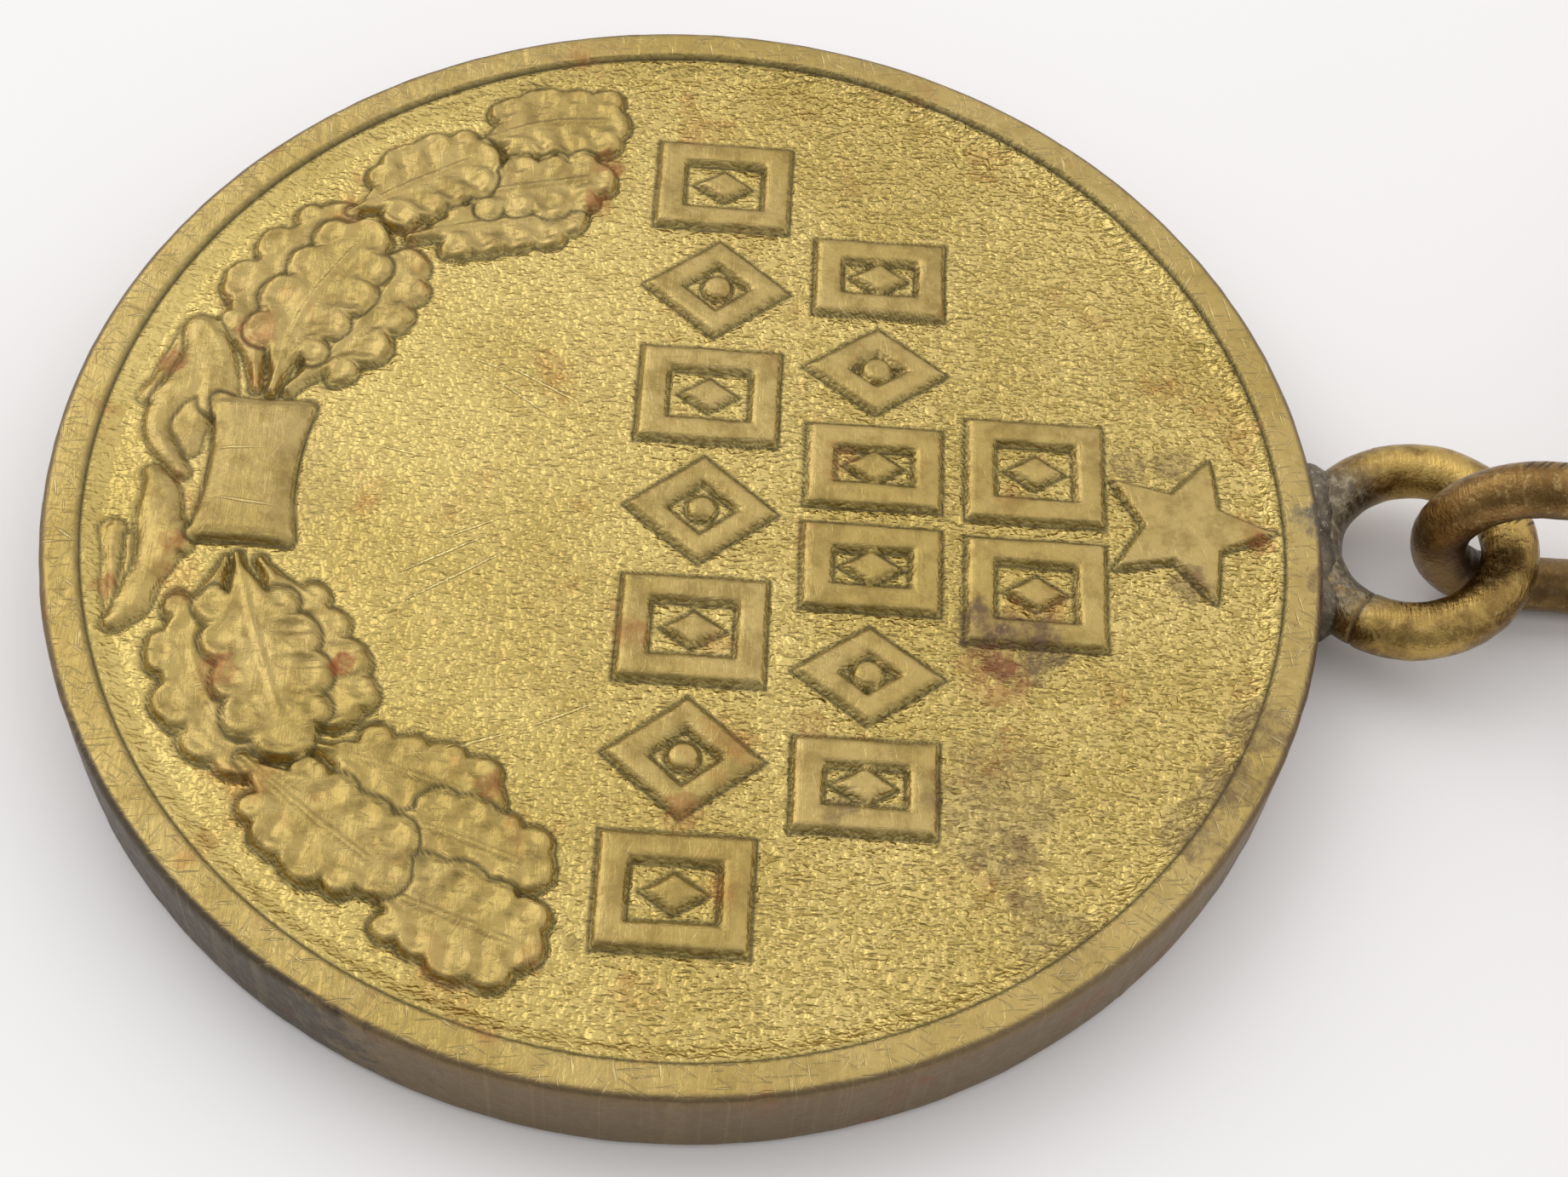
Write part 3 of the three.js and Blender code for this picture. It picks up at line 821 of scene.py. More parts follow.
def build_strip(side, depth):
    """The rings of points of one strip: side -1 or 1 for a leg, 0 for the band."""
    if side:
        along = np.array([-side * math.sin(SLANT), math.cos(SLANT)])
        across = np.array([-side * math.cos(SLANT), -math.sin(SLANT)])
        start = np.array([side * SIDE_X, SIDE_Y]) - 0.35 * across
        sides = np.full(COLUMNS, side)
    else:
        along = np.array([0, 1.0])
        across = np.array([1.0, 0])
        start = np.array([-RIBBON_W / 2, 0])
        sides = np.where(np.linspace(-1, 1, COLUMNS) < 0, -1, 1)
    outs = np.stack([sides * math.sin(FOOT_SLOPE), np.full(COLUMNS, -math.cos(FOOT_SLOPE))], 1)
    corner = np.array([0, CORNER_Y])
    widths = np.linspace(0, RIBBON_W, COLUMNS)
    base = start + widths[:, None] * across
    to_foot = ((corner - base) * outs).sum(1) / (outs @ along)
    hole = np.array([0, HOLE_Y]) - base
    aside = np.abs(hole[:, 0] * along[1] - hole[:, 1] * along[0])
    leave = hole @ along + np.sqrt(np.clip(NOTCH_R**2 - aside**2, 0, None))
    flap = np.clip(1.1 * (aside - NOTCH_R), 0, FOOT_FLAP)
    low = np.where(aside < NOTCH_R, np.maximum(leave, to_foot), to_foot - flap)
    high = (TOP_Y - base[:, 1]) / along[1] + TOP_FLAP
    share = np.linspace(0, 1, ROWS)
    reach = low[:, None] + (high - low)[:, None] * share
    flat = base[:, None, :] + reach[..., None] * along
    ripple = 0.03 * cloudy(flat[..., 0], flat[..., 1], 6.0, SEED + 70 + side)
    skins = []
    for offset in (SILK_T / 2, -SILK_T / 2):
        skin = depth + offset + ripple
        past_foot = ((flat - corner) * outs[:, None, :]).sum(-1)
        past_top = flat[..., 1] - TOP_Y
        point = flat
        z = skin
        for past, out in ((past_foot, outs[:, None, :]), (past_top, np.array([0, 1.0]))):
            arc = math.pi * depth * 0.85
            turn = np.clip(past / arc, 0, 1) * math.pi
            back = np.clip(past - arc, 0, None)
            bulge = (FOLD_REACH + offset) * np.sin(turn)
            point = point + np.where(past > 0, bulge - back - past, 0)[..., None] * out
            z = np.where(past > 0, skin * np.cos(turn), z)
        skins.append(np.concatenate([point, z[..., None]], -1))
    return skins, reach, widths


def build_ribbon():
    points = []
    faces = []
    along_values = []
    across_values = []
    done = 0
    for side, depth in ((-1, LAYERS[0]), (1, LAYERS[0] - 0.03), (0, LAYERS[1])):
        skins, reach, widths = build_strip(side, depth)
        count = COLUMNS * ROWS
        grid = np.arange(count).reshape(COLUMNS, ROWS)
        top = np.stack([grid[:-1, :-1], grid[1:, :-1], grid[1:, 1:], grid[:-1, 1:]], -1).reshape(-1, 4)
        border = np.concatenate([grid[:, 0], grid[-1, 1:], grid[-2::-1, -1], grid[0, -2:0:-1]])
        after = np.roll(border, -1)
        rim = np.stack([after, border, border + count, after + count], 1)
        if side == 1:  # this leg's columns run the other way
            top = top[:, ::-1]
            rim = rim[:, ::-1]
        faces += [top + done, top[:, ::-1] + count + done, rim + done]
        for skin in skins:
            points.append(on_mount(skin).reshape(-1, 3))
            along_values.append(reach.ravel())
            across_values.append(np.repeat(widths, ROWS) - RIBBON_W / 2)
        done += 2 * count
    mesh = mesh_from_arrays("folded_ribbon", np.concatenate(points), faces)
    add_values(mesh, "along", np.concatenate(along_values))
    add_values(mesh, "across", np.concatenate(across_values))
    return new_object("folded_ribbon", mesh)


# ---- the brooch pin: an eye round the rivet, a straight shaft and a filed point ----
def build_pin():
    pin_points = np.array([v.co for v in frame["nodes"]["pin"].data.vertices]) / MM
    local = off_mount(pin_points)
    hinge_place, _ = place_of("pin_open")
    hinge = off_mount(hinge_place)
    tip_x = local[:, 0].max()
    wire = (local[:, 1].max() - local[:, 1].min()) / 2
    eye_r = hinge[0] - local[:, 0].min() - wire
    turn = np.radians(np.linspace(-60, -308, 60))
    eye = [(hinge[0] + eye_r * math.cos(t), hinge[2] + eye_r * math.sin(t)) for t in turn]
    bend = curve_through([eye[-1], (hinge[0] + 1.35, hinge[2] + 0.3), (hinge[0] + 2.3, hinge[2])], 10)
    shaft = [(x, hinge[2]) for x in np.linspace(hinge[0] + 2.6, tip_x - 0.02, 150)]
    path = np.array([(x, hinge[1], z) for x, z in eye + bend[1:] + shaft])
    ahead = np.gradient(path, axis=0)
    ahead /= np.linalg.norm(ahead, axis=1)[:, None]
    sideways = np.broadcast_to(np.array([0, 1.0, 0]), path.shape)
    across = np.cross(ahead, sideways)
    from_tip = tip_x - path[:, 0]
    straight = np.arange(len(path)) > len(eye)
    radius = np.where(straight, wire * np.clip(from_tip / 5.0, 0.1, 1) ** 0.8, wire - 0.01)
    first = np.arange(len(path))
    radius = radius * np.where(first < 3, (first + 1.2) / 4, 1)
    rings = wire_rings(path, across, sideways, radius, 28)
    mesh = tube_mesh("brooch_pin", on_mount(rings), False)
    return new_object("brooch_pin", mesh)


# ---- materials ----
SCRATCH_W = 0.06  # half the width of a scratch or a file mark


def give(tree, socket, value):
    """Sets an input to a plain value, or links another node's output to it."""
    if isinstance(value, bpy.types.NodeSocket):
        tree.links.new(value, socket)
    else:
        socket.default_value = value


def add_node(tree, kind, inputs=(), **settings):
    """A new shader node with its settings, and its inputs by name or number."""
    node = tree.nodes.new("ShaderNode" + kind)
    for name, value in settings.items():
        setattr(node, name, value)
    for key, value in dict(inputs).items():
        give(tree, node.inputs[key], value)
    return node


class Shader:
    """A few short calls for building a node material."""

    def __init__(self, name):
        self.material = bpy.data.materials.new(name)
        self.material.use_nodes = True
        self.tree = self.material.node_tree
        self.tree.nodes.clear()
        self.surface = self.add("BsdfPrincipled")
        self.add("OutputMaterial", {0: self.surface.outputs[0]})
        self.place = self.add("TexCoord").outputs["Object"]
        self.uneven = None

    def add(self, kind, inputs=(), **settings):
        return add_node(self.tree, kind, inputs, **settings)

    def math(self, kind, *values):
        return self.add("Math", enumerate(values), operation=kind).outputs[0]

    def plus(self, a, b):
        return self.math("ADD", a, b)

    def minus(self, a, b):
        return self.math("SUBTRACT", a, b)

    def times(self, a, b):
        return self.math("MULTIPLY", a, b)

    def most(self, a, b):
        return self.math("MAXIMUM", a, b)

    def attribute(self, name):
        return self.add("Attribute", attribute_name=name).outputs["Fac"]

    def mapped(self, scale, shift=(0, 0, 0), turn=0, kind="POINT"):
        """The piece's own coordinates, scaled, turned about z and moved."""
        turns = (0, 0, math.radians(turn))
        inputs = {"Vector": self.place, "Scale": scale, "Rotation": turns, "Location": shift}
        return self.add("Mapping", inputs, vector_type=kind).outputs[0]

    def noise(self, size_mm, detail=3, rough=0.5, stretch=(1, 1, 1), shift=(0, 0, 0)):
        place = self.mapped([s / (size_mm * MM) for s in stretch], shift)
        inputs = {"Vector": place, "Scale": 1, "Detail": detail, "Roughness": rough}
        return self.add("TexNoise", inputs).outputs[0]

    def ramp(self, value, low, high, start=0.0, end=1.0):
        inputs = {"Value": value, "From Min": low, "From Max": high, "To Min": start, "To Max": end}
        return self.add("MapRange", inputs, interpolation_type="SMOOTHSTEP").outputs[0]

    def mix(self, share, a, b):
        a, b = (c if isinstance(c, bpy.types.NodeSocket) else (*c, 1) for c in (a, b))
        return self.add("Mix", {"Factor": share, 6: a, 7: b}, data_type="RGBA").outputs[2]

    def tint(self, base, share, strength, colour):
        """The base with a colour laid over it where the share is high."""
        return self.mix(self.times(share, strength), base, colour)

    def creases(self, noise, width):
        """Lines where a noise crosses its middle value: 0 on them, 1 beside them."""
        return self.ramp(self.math("ABSOLUTE", self.minus(noise, 0.5)), 0.0, width)

    def spot(self, x, y, radius):
        """A round patch about a point of the face, in mm, with an uneven edge."""
        inputs = {0: self.mapped((1, 1, 0)), 1: (x * MM, y * MM, 0)}
        gap = self.add("VectorMath", inputs, operation="DISTANCE").outputs["Value"]
        self.uneven = self.uneven or self.noise(0.55, 5, 0.7)
        reach = self.math("MULTIPLY_ADD", self.uneven, 2.2 * radius * MM, -0.1 * radius * MM)
        return self.ramp(self.math("DIVIDE", gap, reach), 1.2, 0.75)

    def hairs(self, length_mm, width_mm, turn, low, high):
        """Short fine marks that run one way, as rubbing leaves."""
        size = (length_mm * MM, width_mm * MM, 1)
        place = self.mapped(size, (0.01 * turn, 0.02 * turn, 0), turn, "TEXTURE")
        marks = self.add("TexNoise", {"Vector": place, "Scale": 1, "Detail": 1})
        return self.ramp(marks.outputs[0], low, high)

    def stroke(self, x, y, length, turn):
        """A hair-thin line about a point of the face that fades towards its two ends."""
        size = (length / 2 * MM, SCRATCH_W * MM, 1)
        place = self.mapped(size, (x * MM, y * MM, 0), turn, "TEXTURE")
        flat = self.add("VectorMath", {0: place, 1: (1, 1, 0)}, operation="MULTIPLY").outputs[0]
        reach = self.add("VectorMath", {0: flat}, operation="LENGTH").outputs["Value"]
        return self.ramp(reach, 1.0, 0.3)

    def bumped(self, height, distance_mm, strength):
        inputs = {"Height": height, "Distance": distance_mm * MM, "Strength": strength}
        give(self.tree, self.surface.inputs["Normal"], self.add("Bump", inputs).outputs[0])

    def finish(self, colour, roughness, metallic):
        for name, value in (("Base Color", colour), ("Roughness", roughness), ("Metallic", metallic)):
            give(self.tree, self.surface.inputs[name], value)
        return self.material


def rgb(red, green, blue):
    """A colour as it looks on a screen, 0 to 255, in linear light."""
    return tuple(((c / 255 + 0.055) / 1.055) ** 2.4 for c in (red, green, blue))


FIELD_BRASS = rgb(207, 184, 115)
WORN_BRASS = rgb(182, 159, 101)
DULL_BRASS = rgb(160, 136, 66)
MOTTLED_BRASS = rgb(134, 113, 62)
# the colour of the painted shade in the grain's valleys
VALLEY_SHADE_BRASS = rgb(128, 108, 44)
SCRATCH_BRASS = rgb(236, 216, 146)
SCUFF_BRASS = rgb(220, 202, 150)
WALL_BRONZE = rgb(124, 106, 82)
WALL_SLATE = rgb(62, 60, 58)
# dirt and painted shade at the foot of the relief and of the rim
OLIVE_DIRT_AND_SHADE = rgb(66, 56, 22)
RED_BROWN = rgb(150, 80, 40)
UMBER = rgb(98, 74, 56)
SOLDER_GREY = rgb(96, 90, 80)

# Stains and spots on the face: x, y, radius, colour and strength.
STAINS = (
    (3.7, 8.4, 1.0, UMBER, 0.85),
    (3.2, 7.3, 0.7, UMBER, 0.8),
    (4.5, 7.7, 0.9, RED_BROWN, 0.5),
    (8.0, 7.7, 1.7, UMBER, 0.4),
    (9.4, 7.9, 0.8, UMBER, 0.4),
    (10.5, 8.4, 0.5, UMBER, 0.6),
    (5.6, 14.0, 0.8, UMBER, 0.6),
    (7.1, 13.2, 0.8, UMBER, 0.65),
    (8.5, 12.3, 0.8, UMBER, 0.55),
    (1.5, 12.5, 0.55, UMBER, 0.6),
    (-2.3, 12.3, 0.5, UMBER, 0.55),
    (-2.1, 11.2, 0.5, UMBER, 0.5),
    (0.1, 14.5, 0.3, RED_BROWN, 0.7),
    (8.4, -4.2, 0.35, RED_BROWN, 0.65),
    (5.4, -8.0, 0.32, RED_BROWN, 0.8),
    (5.9, -10.9, 0.5, RED_BROWN, 0.6),
    (-11.0, -2.9, 0.5, RED_BROWN, 0.6),
    (-9.6, -3.1, 0.4, RED_BROWN, 0.6),
    (-3.3, -13.5, 0.4, RED_BROWN, 0.6),
    (3.6, -14.0, 0.3, RED_BROWN, 0.6),
    (2.3, -12.6, 0.35, RED_BROWN, 0.55),
    (-4.4, -11.5, 0.6, RED_BROWN, 0.45),
    (4.0, -1.2, 0.45, RED_BROWN, 0.45),
    (8.8, 0.4, 0.5, RED_BROWN, 0.45),
    (8.4, 4.0, 0.4, UMBER, 0.55),
    (6.2, 3.3, 0.4, RED_BROWN, 0.4),
    (-0.6, 15.85, 0.55, SOLDER_GREY, 0.9),
    (1.3, 15.8, 0.35, UMBER, 0.6),
    (11.5, 9.2, 0.9, UMBER, 0.4),
    (-0.1, -11.0, 2.4, UMBER, 0.2),
)

# Scratches: middle x and y, length, the way it runs in degrees, and its depth share.
SCRATCHES = (
    (-3.4, -4.0, 3.6, 62, 0.8),
    (-3.0, -4.6, 2.4, 55, 0.6),
    (-3.9, -5.4, 2.0, 70, 0.5),
    (2.0, -6.0, 3.2, 122, 1.0),
    (2.6, -5.6, 3.8, 125, 0.8),
    (1.2, -5.4, 2.0, 118, 0.6),
    (6.3, -2.6, 2.8, 118, 0.6),
    (7.2, -4.6, 2.2, 112, 0.5),
    (-1.0, -7.4, 1.6, 80, 0.5),
    (10.2, 5.5, 2.4, 100, 0.5),
    (1.0, -11.0, 2.0, 84, 0.5),
    (-0.6, -11.4, 1.4, 95, 0.4),
)


SLATE_PATCH = (11.4, -11.2, 5.5)  # x, y and radius of the grey length of the side wall
SCUFF_TURNS = (12, 58, 97, 151)  # the ways the scuffs run, in degrees


def struck_brass():
    s = Shader("struck_brass")
    device = s.attribute("device")
    peel = s.attribute("peel")
    wall = s.attribute("wall")
    on_rim = s.attribute("rim")
    fine = s.noise(0.3, 4, 0.65)
    field = s.times(s.minus(1.0, device), s.attribute("coarse"))

    # the winding grain of the struck field
    worm = s.creases(s.noise(0.36, 2, 0.5, stretch=(1.6, 0.75, 1)), 0.16)
    crinkle = s.creases(s.noise(0.24, 1, 0.5, shift=(0.7, 0.2, 0)), 0.14)
    grain = s.plus(s.times(worm, 0.6), s.times(crinkle, 0.4))

    base = s.mix(device, FIELD_BRASS, WORN_BRASS)
    base = s.tint(base, s.ramp(s.noise(6, 4, 0.6), 0.38, 0.7), 0.45, DULL_BRASS)
    mottle = s.times(s.ramp(s.noise(0.8, 5, 0.7, shift=(0.1, 0.5, 0)), 0.42, 0.66), device)
    base = s.tint(base, mottle, s.math("MULTIPLY_ADD", on_rim, -0.3, 0.65), MOTTLED_BRASS)
    # painted shade: darker olive brass in the valleys of the grain
    base = s.tint(base, s.times(s.ramp(grain, 0.45, 0.05), field), 0.5, VALLEY_SHADE_BRASS)
    base = s.tint(base, s.ramp(peel, -0.2, -0.9), 0.2, VALLEY_SHADE_BRASS)
    base = s.tint(base, wall, 0.9, WALL_BRONZE)
    base = s.tint(base, s.times(s.spot(*SLATE_PATCH), wall), 0.65, WALL_SLATE)
    # dirt and painted shade: darker olive at the foot of the relief and of the rim
    grime_and_shade = s.times(s.attribute("dirt_and_shade"), s.ramp(fine, 0.15, 0.5, 0.75, 1.0))
    base = s.tint(base, grime_and_shade, 0.92, OLIVE_DIRT_AND_SHADE)

    speckle = s.ramp(s.noise(0.5, 5, 0.75), 0.36, 0.62, 0.25, 1.0)
    stain = 0.0
    for x, y, radius, colour, strength in STAINS:
        patch = s.times(s.spot(x, y, radius), s.times(speckle, strength))
        base = s.mix(patch, base, colour)
        stain = s.most(patch, stain)
    rust = s.times(s.ramp(s.noise(2.2, 3, 0.6, shift=(0.3, 0, 0)), 0.57, 0.7), speckle)
    base = s.tint(base, rust, 0.4, RED_BROWN)

    scratch = 0.0
    for x, y, length, turn, depth in SCRATCHES:
        scratch = s.most(s.times(s.stroke(x, y, length, turn), depth), scratch)
    base = s.tint(base, scratch, 0.8, SCRATCH_BRASS)
    scuffs = 0.0
    for turn in SCUFF_TURNS:
        scuffs = s.most(s.hairs(0.9, 0.09, turn, 0.62, 0.76), scuffs)
    scuffs = s.times(scuffs, s.math("MULTIPLY_ADD", on_rim, 0.75, s.times(device, 0.25)))
    base = s.tint(base, scuffs, 0.35, SCUFF_BRASS)

    rough = s.ramp(fine, 0.3, 0.7, 0.22, 0.34)
    for share, strength in ((grime_and_shade, 0.3), (stain, 0.25), (wall, 0.15), (device, 0.05)):
        rough = s.plus(rough, s.times(share, strength))
    metallic = s.minus(1.0, s.times(s.most(grime_and_shade, stain), 0.6))

    hairs = s.noise(0.5, 3, 0.7, stretch=(0.35, 5, 1), shift=(0.2, 0.2, 0))
    relief = s.times(grain, s.math("MULTIPLY_ADD", field, 0.85, 0.1))
    relief = s.plus(relief, s.times(fine, 0.3))
    relief = s.plus(relief, s.times(hairs, s.times(device, 0.3)))
    relief = s.minus(relief, s.times(scratch, 0.8))
    relief = s.minus(relief, s.times(scuffs, 0.35))
    s.bumped(relief, 0.05, 1.0)
    return s.finish(base, rough, metallic)


FILE_MARKS = (1.5, 1.8, 1.97, 2.3)  # how far along the ring from the middle of its near end
RING_BRONZE = rgb(148, 116, 70)
EYELET_BRASS = rgb(184, 154, 88)
BROWN_FILM = rgb(108, 82, 46)
BROWN_SPOT = rgb(92, 66, 40)
RUBBED_BRASS = rgb(206, 182, 124)
# grime at the joints and file marks, and painted shade on the ring's inner side
BLACK_GRIME_AND_SHADE = rgb(58, 42, 26)
TIN_DARK = rgb(98, 88, 72)
TIN_LIGHT = rgb(158, 146, 122)


def wire_bronze():
    s = Shader("wire_bronze")
    fine = s.noise(0.22, 4, 0.65)
    drawn = s.noise(0.5, 2, 0.6, stretch=(0.5, 6, 6))
    base = s.mix(s.attribute("worn"), RING_BRONZE, EYELET_BRASS)
    base = s.tint(base, s.ramp(s.noise(1.6, 5, 0.65), 0.4, 0.62), 0.8, BROWN_FILM)
    base = s.tint(base, s.ramp(fine, 0.52, 0.7), 0.4, RUBBED_BRASS)
    base = s.tint(base, s.ramp(s.noise(0.7, 5, 0.7), 0.54, 0.68), 0.45, BROWN_SPOT)
    filed = 0.0
    for along in FILE_MARKS:
        filed = s.most(s.stroke(AXIS_X - 0.35, RING_NEAR_Y + along, 0.8, 135), filed)
    # dark at the butt joints and file marks, and painted shade on the ring's inner side
    dark = s.times(s.attribute("grime_and_shade"), s.ramp(fine, 0.25, 0.6, 0.5, 1.0))
    dark = s.most(dark, s.times(filed, 0.8))
    base = s.mix(dark, base, BLACK_GRIME_AND_SHADE)
    tin = s.times(s.attribute("tinned"), s.ramp(s.noise(0.8, 5, 0.75), 0.68, 0.54))
    base = s.mix(tin, base, s.mix(s.ramp(fine, 0.4, 0.7), TIN_DARK, TIN_LIGHT))
    rough = s.plus(s.ramp(fine, 0.3, 0.7, 0.22, 0.4), s.times(dark, 0.25))
    s.bumped(s.plus(s.times(drawn, 0.7), s.times(fine, 0.8)), 0.04, 0.9)
    return s.finish(base, s.plus(rough, s.times(tin, 0.12)), s.minus(1.0, s.times(dark, 0.5)))


SOLDER_PALE = rgb(124, 114, 98)
SOLDER_DARK = rgb(74, 66, 54)
SOLDER_BRIGHT = rgb(190, 184, 170)


def solder_grey():
    s = Shader("solder")
    cloud = s.noise(0.9, 5, 0.7)
    fine = s.noise(0.16, 4, 0.7)
    base = s.mix(s.ramp(cloud, 0.35, 0.65), SOLDER_PALE, SOLDER_DARK)
    base = s.tint(base, s.ramp(fine, 0.56, 0.7), 0.7, SOLDER_BRIGHT)
    s.bumped(s.plus(cloud, s.times(fine, 0.5)), 0.08, 0.9)
    return s.finish(base, s.ramp(fine, 0.3, 0.7, 0.62, 0.38), 0.85)


SHEET_CLEAN = rgb(198, 172, 108)
SHEET_DULL = rgb(152, 124, 70)
SHEET_BRUSHED = rgb(214, 190, 130)
SHEET_EDGE = rgb(222, 200, 140)
SHEET_SPOT = rgb(96, 74, 44)


def sheet_brass():
    """Rolled sheet: brushed along its length, dulled in clouds and worn bright at its edges."""
    s = Shader("sheet_brass")
    fine = s.noise(0.3, 4, 0.65)
    brushed = s.noise(0.9, 3, 0.7, stretch=(0.15, 6, 6))
    edge = s.add("NewGeometry").outputs["Pointiness"]
    base = s.mix(s.ramp(s.noise(5, 5, 0.6), 0.35, 0.68), SHEET_CLEAN, SHEET_DULL)
    base = s.tint(base, s.ramp(brushed, 0.45, 0.65), 0.3, SHEET_BRUSHED)
    base = s.tint(base, s.ramp(edge, 0.52, 0.6), 0.6, SHEET_EDGE)
    spots = s.ramp(s.noise(1.4, 5, 0.75, shift=(0.4, 0, 0)), 0.6, 0.72)
    base = s.tint(base, spots, 0.6, SHEET_SPOT)
    s.bumped(s.plus(s.times(brushed, 0.6), s.times(fine, 0.5)), 0.02, 0.8)
    rough = s.plus(s.ramp(brushed, 0.3, 0.7, 0.26, 0.4), s.times(spots, 0.2))
    return s.finish(base, rough, 1.0)


STEEL = rgb(186, 184, 178)
STEEL_DULL = rgb(142, 138, 130)
STEEL_RUST = rgb(104, 68, 40)


def pin_steel():
    s = Shader("pin_steel")
    fine = s.noise(0.2, 4, 0.65)
    drawn = s.noise(1.2, 3, 0.7, stretch=(0.12, 6, 6))
    base = s.mix(s.ramp(s.noise(2.5, 5, 0.65), 0.35, 0.7), STEEL, STEEL_DULL)
    rust = s.ramp(s.noise(1.1, 5, 0.75, shift=(0.2, 0.1, 0)), 0.6, 0.7)
    base = s.tint(base, rust, 0.7, STEEL_RUST)
    s.bumped(s.plus(drawn, s.times(fine, 0.5)), 0.015, 0.8)
    rough = s.plus(s.ramp(drawn, 0.3, 0.7, 0.22, 0.36), s.times(rust, 0.35))
    return s.finish(base, rough, s.minus(1.0, s.times(rust, 0.6)))


RIBBON_RED = rgb(150, 16, 28)
RIBBON_GOLD = rgb(206, 158, 62)
RIBBON_BLACK = rgb(34, 28, 30)
RIBBON_SHADE = rgb(60, 12, 18)
RIBBON_SHEEN = rgb(206, 80, 78)
RIBBON_SOIL = rgb(96, 44, 40)
RIB_PITCH = 0.42  # of the cross ribs of the silk
THREAD_PITCH = 0.16  # of the threads that run along it
STRIPE_HALF = 2.0  # half the width of the middle stripe
LINE_W = 0.7  # width of the dark lines beside it
BLUR = 0.04  # half the width over which one colour turns into the next


def ribbon_silk():
    """Ribbed silk: red, with one gold stripe between two dark lines, and a watered sheen."""
    s = Shader("ribbon_silk")
    across = s.attribute("across")
    wobble = s.times(s.minus(s.noise(0.5, 2, 0.5), 0.5), 0.12)
    off = s.plus(s.math("ABSOLUTE", across), wobble)
    base = RIBBON_RED
    for reach, colour in ((STRIPE_HALF + LINE_W, RIBBON_BLACK), (STRIPE_HALF, RIBBON_GOLD)):
        base = s.mix(s.ramp(off, reach + BLUR, reach - BLUR), base, colour)
    rib = s.math("SINE", s.times(s.attribute("along"), 2 * math.pi / RIB_PITCH))
    thread = s.math("SINE", s.times(across, 2 * math.pi / THREAD_PITCH))
    weave = s.plus(s.times(rib, 0.7), s.times(thread, 0.3))
    base = s.tint(base, s.ramp(weave, 0.1, -0.9), 0.45, RIBBON_SHADE)
    watered = s.ramp(s.noise(3.2, 4, 0.6, stretch=(1, 0.35, 1)), 0.4, 0.62)
    base = s.tint(base, watered, 0.14, RIBBON_SHEEN)
    base = s.tint(base, s.ramp(s.noise(9, 4, 0.6), 0.45, 0.75), 0.25, RIBBON_SOIL)
    s.bumped(s.plus(weave, s.times(s.noise(0.12, 3, 0.7), 0.5)), 0.05, 0.7)
    s.surface.inputs["Sheen Weight"].default_value = 0.35
    s.surface.inputs["Sheen Roughness"].default_value = 0.4
    return s.finish(base, s.ramp(watered, 0.0, 1.0, 0.62, 0.42), 0.0)


# ---- the set ----
PAPER_COOL = (0.93, 0.915, 0.92)
PAPER_WARM = (0.96, 0.95, 0.955)
FLOOR_HALF = 600.0


def paper():
    s = Shader("paper")
    s.surface.inputs["Specular IOR Level"].default_value = 0.2
    return s.finish(s.mix(s.noise(14, 3, 0.5), PAPER_COOL, PAPER_WARM), 0.8, 0.0)


def build_floor():
    points = [(x * FLOOR_HALF, y * FLOOR_HALF, 0) for x, y in ((-1, -1), (1, -1), (1, 1), (-1, 1))]
    mesh = mesh_from_arrays("floor", points, [np.array([[0, 1, 2, 3]])])
    floor = new_object("floor", mesh)
    floor.data.materials.append(paper())


def direction(azimuth, elevation):
    """Towards a place in the room. Azimuth 0 is on the -y side and 90 on the +x side."""
    a = math.radians(azimuth)
    e = math.radians(elevation)
    return Vector((math.sin(a) * math.cos(e), -math.cos(a) * math.cos(e), math.sin(e)))


# Azimuth and elevation of each glow, the angles where it starts and stops fading, and its strength.
SKY = (
    (0, 90, 0, 180, 0.71),
    (-95, 84, 5, 38, 0.3),
    (-118, 54, 5, 38, 0.16),
    (-120, 8, 10, 75, 0.38),
    (175, 20, 10, 60, 0.36),
    (0, 25, 10, 60, 0.28),
    (87, 25, 20, 70, -0.22),
)
SKY_COLOUR = (1.0, 0.99, 0.985, 1)


def build_sky():
    """A pale room: brightest overhead and beyond the medal, dark on the camera's side."""
    world = bpy.data.worlds.new("studio")
    world.use_nodes = True
    tree = world.node_tree
    towards = add_node(tree, "TexCoord").outputs["Generated"]
    total = 0.0
    for azimuth, elevation, near, far, amount in SKY:
        aim = {0: towards, 1: direction(azimuth, elevation)}
        facing = add_node(tree, "VectorMath", aim, operation="DOT_PRODUCT").outputs["Value"]
        fade = {"Value": facing, "From Min": math.cos(math.radians(far)),
                "From Max": math.cos(math.radians(near)), "To Max": amount}
        glow = add_node(tree, "MapRange", fade, interpolation_type="SMOOTHSTEP").outputs[0]
        total = add_node(tree, "Math", {0: total, 1: glow}, operation="ADD").outputs[0]
    give(tree, tree.nodes["Background"].inputs[0], SKY_COLOUR)
    give(tree, tree.nodes["Background"].inputs[1], total)
    bpy.context.scene.world = world


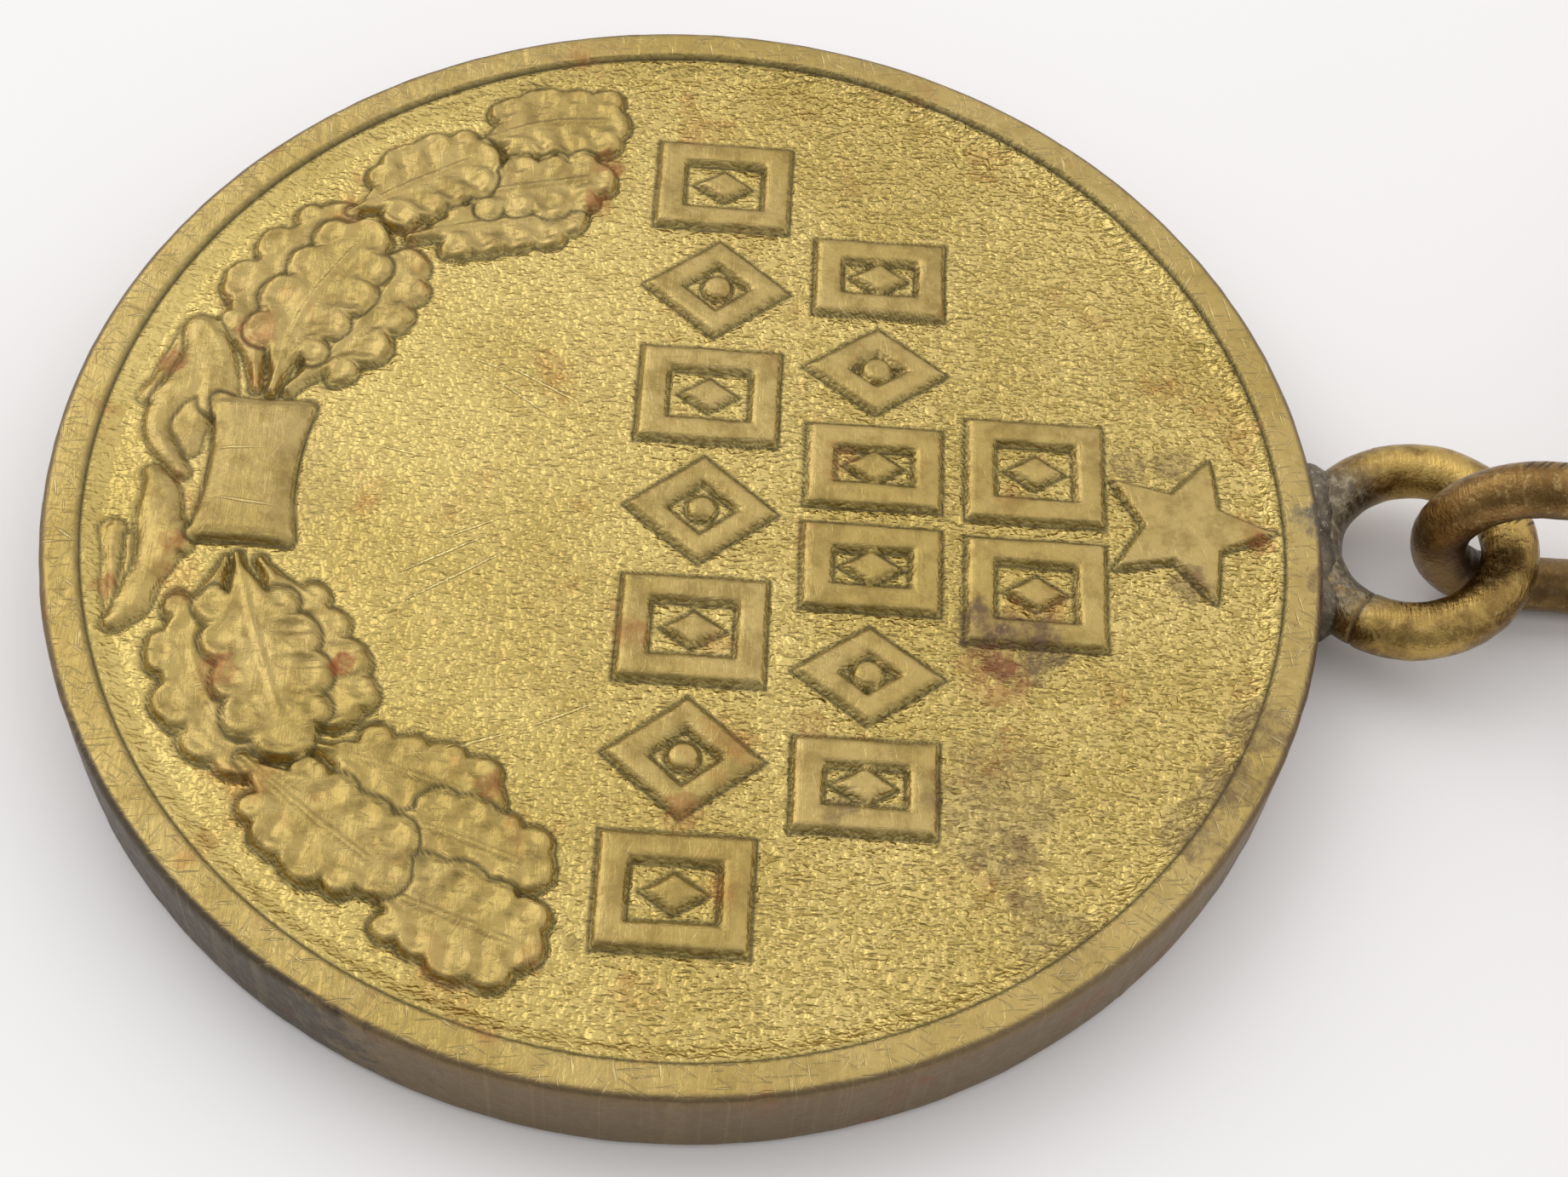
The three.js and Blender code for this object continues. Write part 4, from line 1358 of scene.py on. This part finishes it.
def build_window():
    """A soft disc of light to the left, beyond the medal."""
    data = bpy.data.lights.new("window", "AREA")
    data.shape = "DISK"
    data.size = 0.8
    data.energy = 2.0
    data.color = (1, 0.99, 0.97)
    light = bpy.data.objects.new("window", data)
    back = direction(-40, 42)
    light.location = back * 0.9
    light.rotation_euler = back.to_track_quat("Z", "Y").to_euler()
    bpy.context.scene.collection.objects.link(light)


PICTURE_W = 1841
FOCAL = 3000  # in the same units as PICTURE_W
SENSOR_W = 36


def build_camera():
    """A camera close to the disc, as a phone's is, looking across it with the mount to the right."""
    target = Vector((2.5758, 2.4506, DISC_T)) * MM
    azimuth = 87
    away = 62.726 * MM
    roll = math.radians(6.389)
    back = direction(azimuth, 57.447)
    right = direction(azimuth + 90, 0)
    up = back.cross(right)
    turned_right = math.cos(roll) * right + math.sin(roll) * up
    turned_up = math.cos(roll) * up - math.sin(roll) * right
    data = bpy.data.cameras.new("camera")
    data.sensor_width = SENSOR_W
    data.lens = FOCAL * SENSOR_W / PICTURE_W
    data.clip_start = 0.001
    data.clip_end = 20
    camera = bpy.data.objects.new("camera", data)
    axes = Matrix((turned_right, turned_up, back)).transposed().to_4x4()
    camera.matrix_world = Matrix.Translation(target + back * away) @ axes
    bpy.context.scene.collection.objects.link(camera)
    bpy.context.scene.camera = camera


def settle(piece, body, node, material):
    """Gives a piece its material, hangs it on the body it moves with, and hides the CAD node that it
    stands for.
    """
    piece.data.materials.clear()
    piece.data.materials.append(material)
    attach(piece, body)
    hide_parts(node)


build_camera()
build_sky()
build_window()
build_floor()
bpy.context.scene.view_settings.view_transform = "Standard"

settle(build_disc(), "medal", "medal_disc", struck_brass())

bronze = wire_bronze()
settle(build_eyelet(), "medal", "eyelet", bronze)
settle(build_solder(), "medal", "solder_fillet", solder_grey())
settle(build_ring(), "ring", "suspension_ring", bronze)

sheet = sheet_brass()
for node_name, piece_name, radius in (
    ("mount_plate", "pentagon_plate", 0.14),
    ("back_plate", "backing_plate", 0.1),
    ("pin_hinge_bracket", "hinge_bracket", 0.07),
    ("pin_catch", "catch_roll", 0.07),
    ("pin_hinge_rivet", "hinge_rivet", 0.09),
):
    settle(softened(node_name, piece_name, radius), "suspension", node_name, sheet)
settle(build_pin(), "pin", "pin", pin_steel())

ribbon = build_ribbon()
settle(ribbon, "suspension", "ribbon", ribbon_silk())
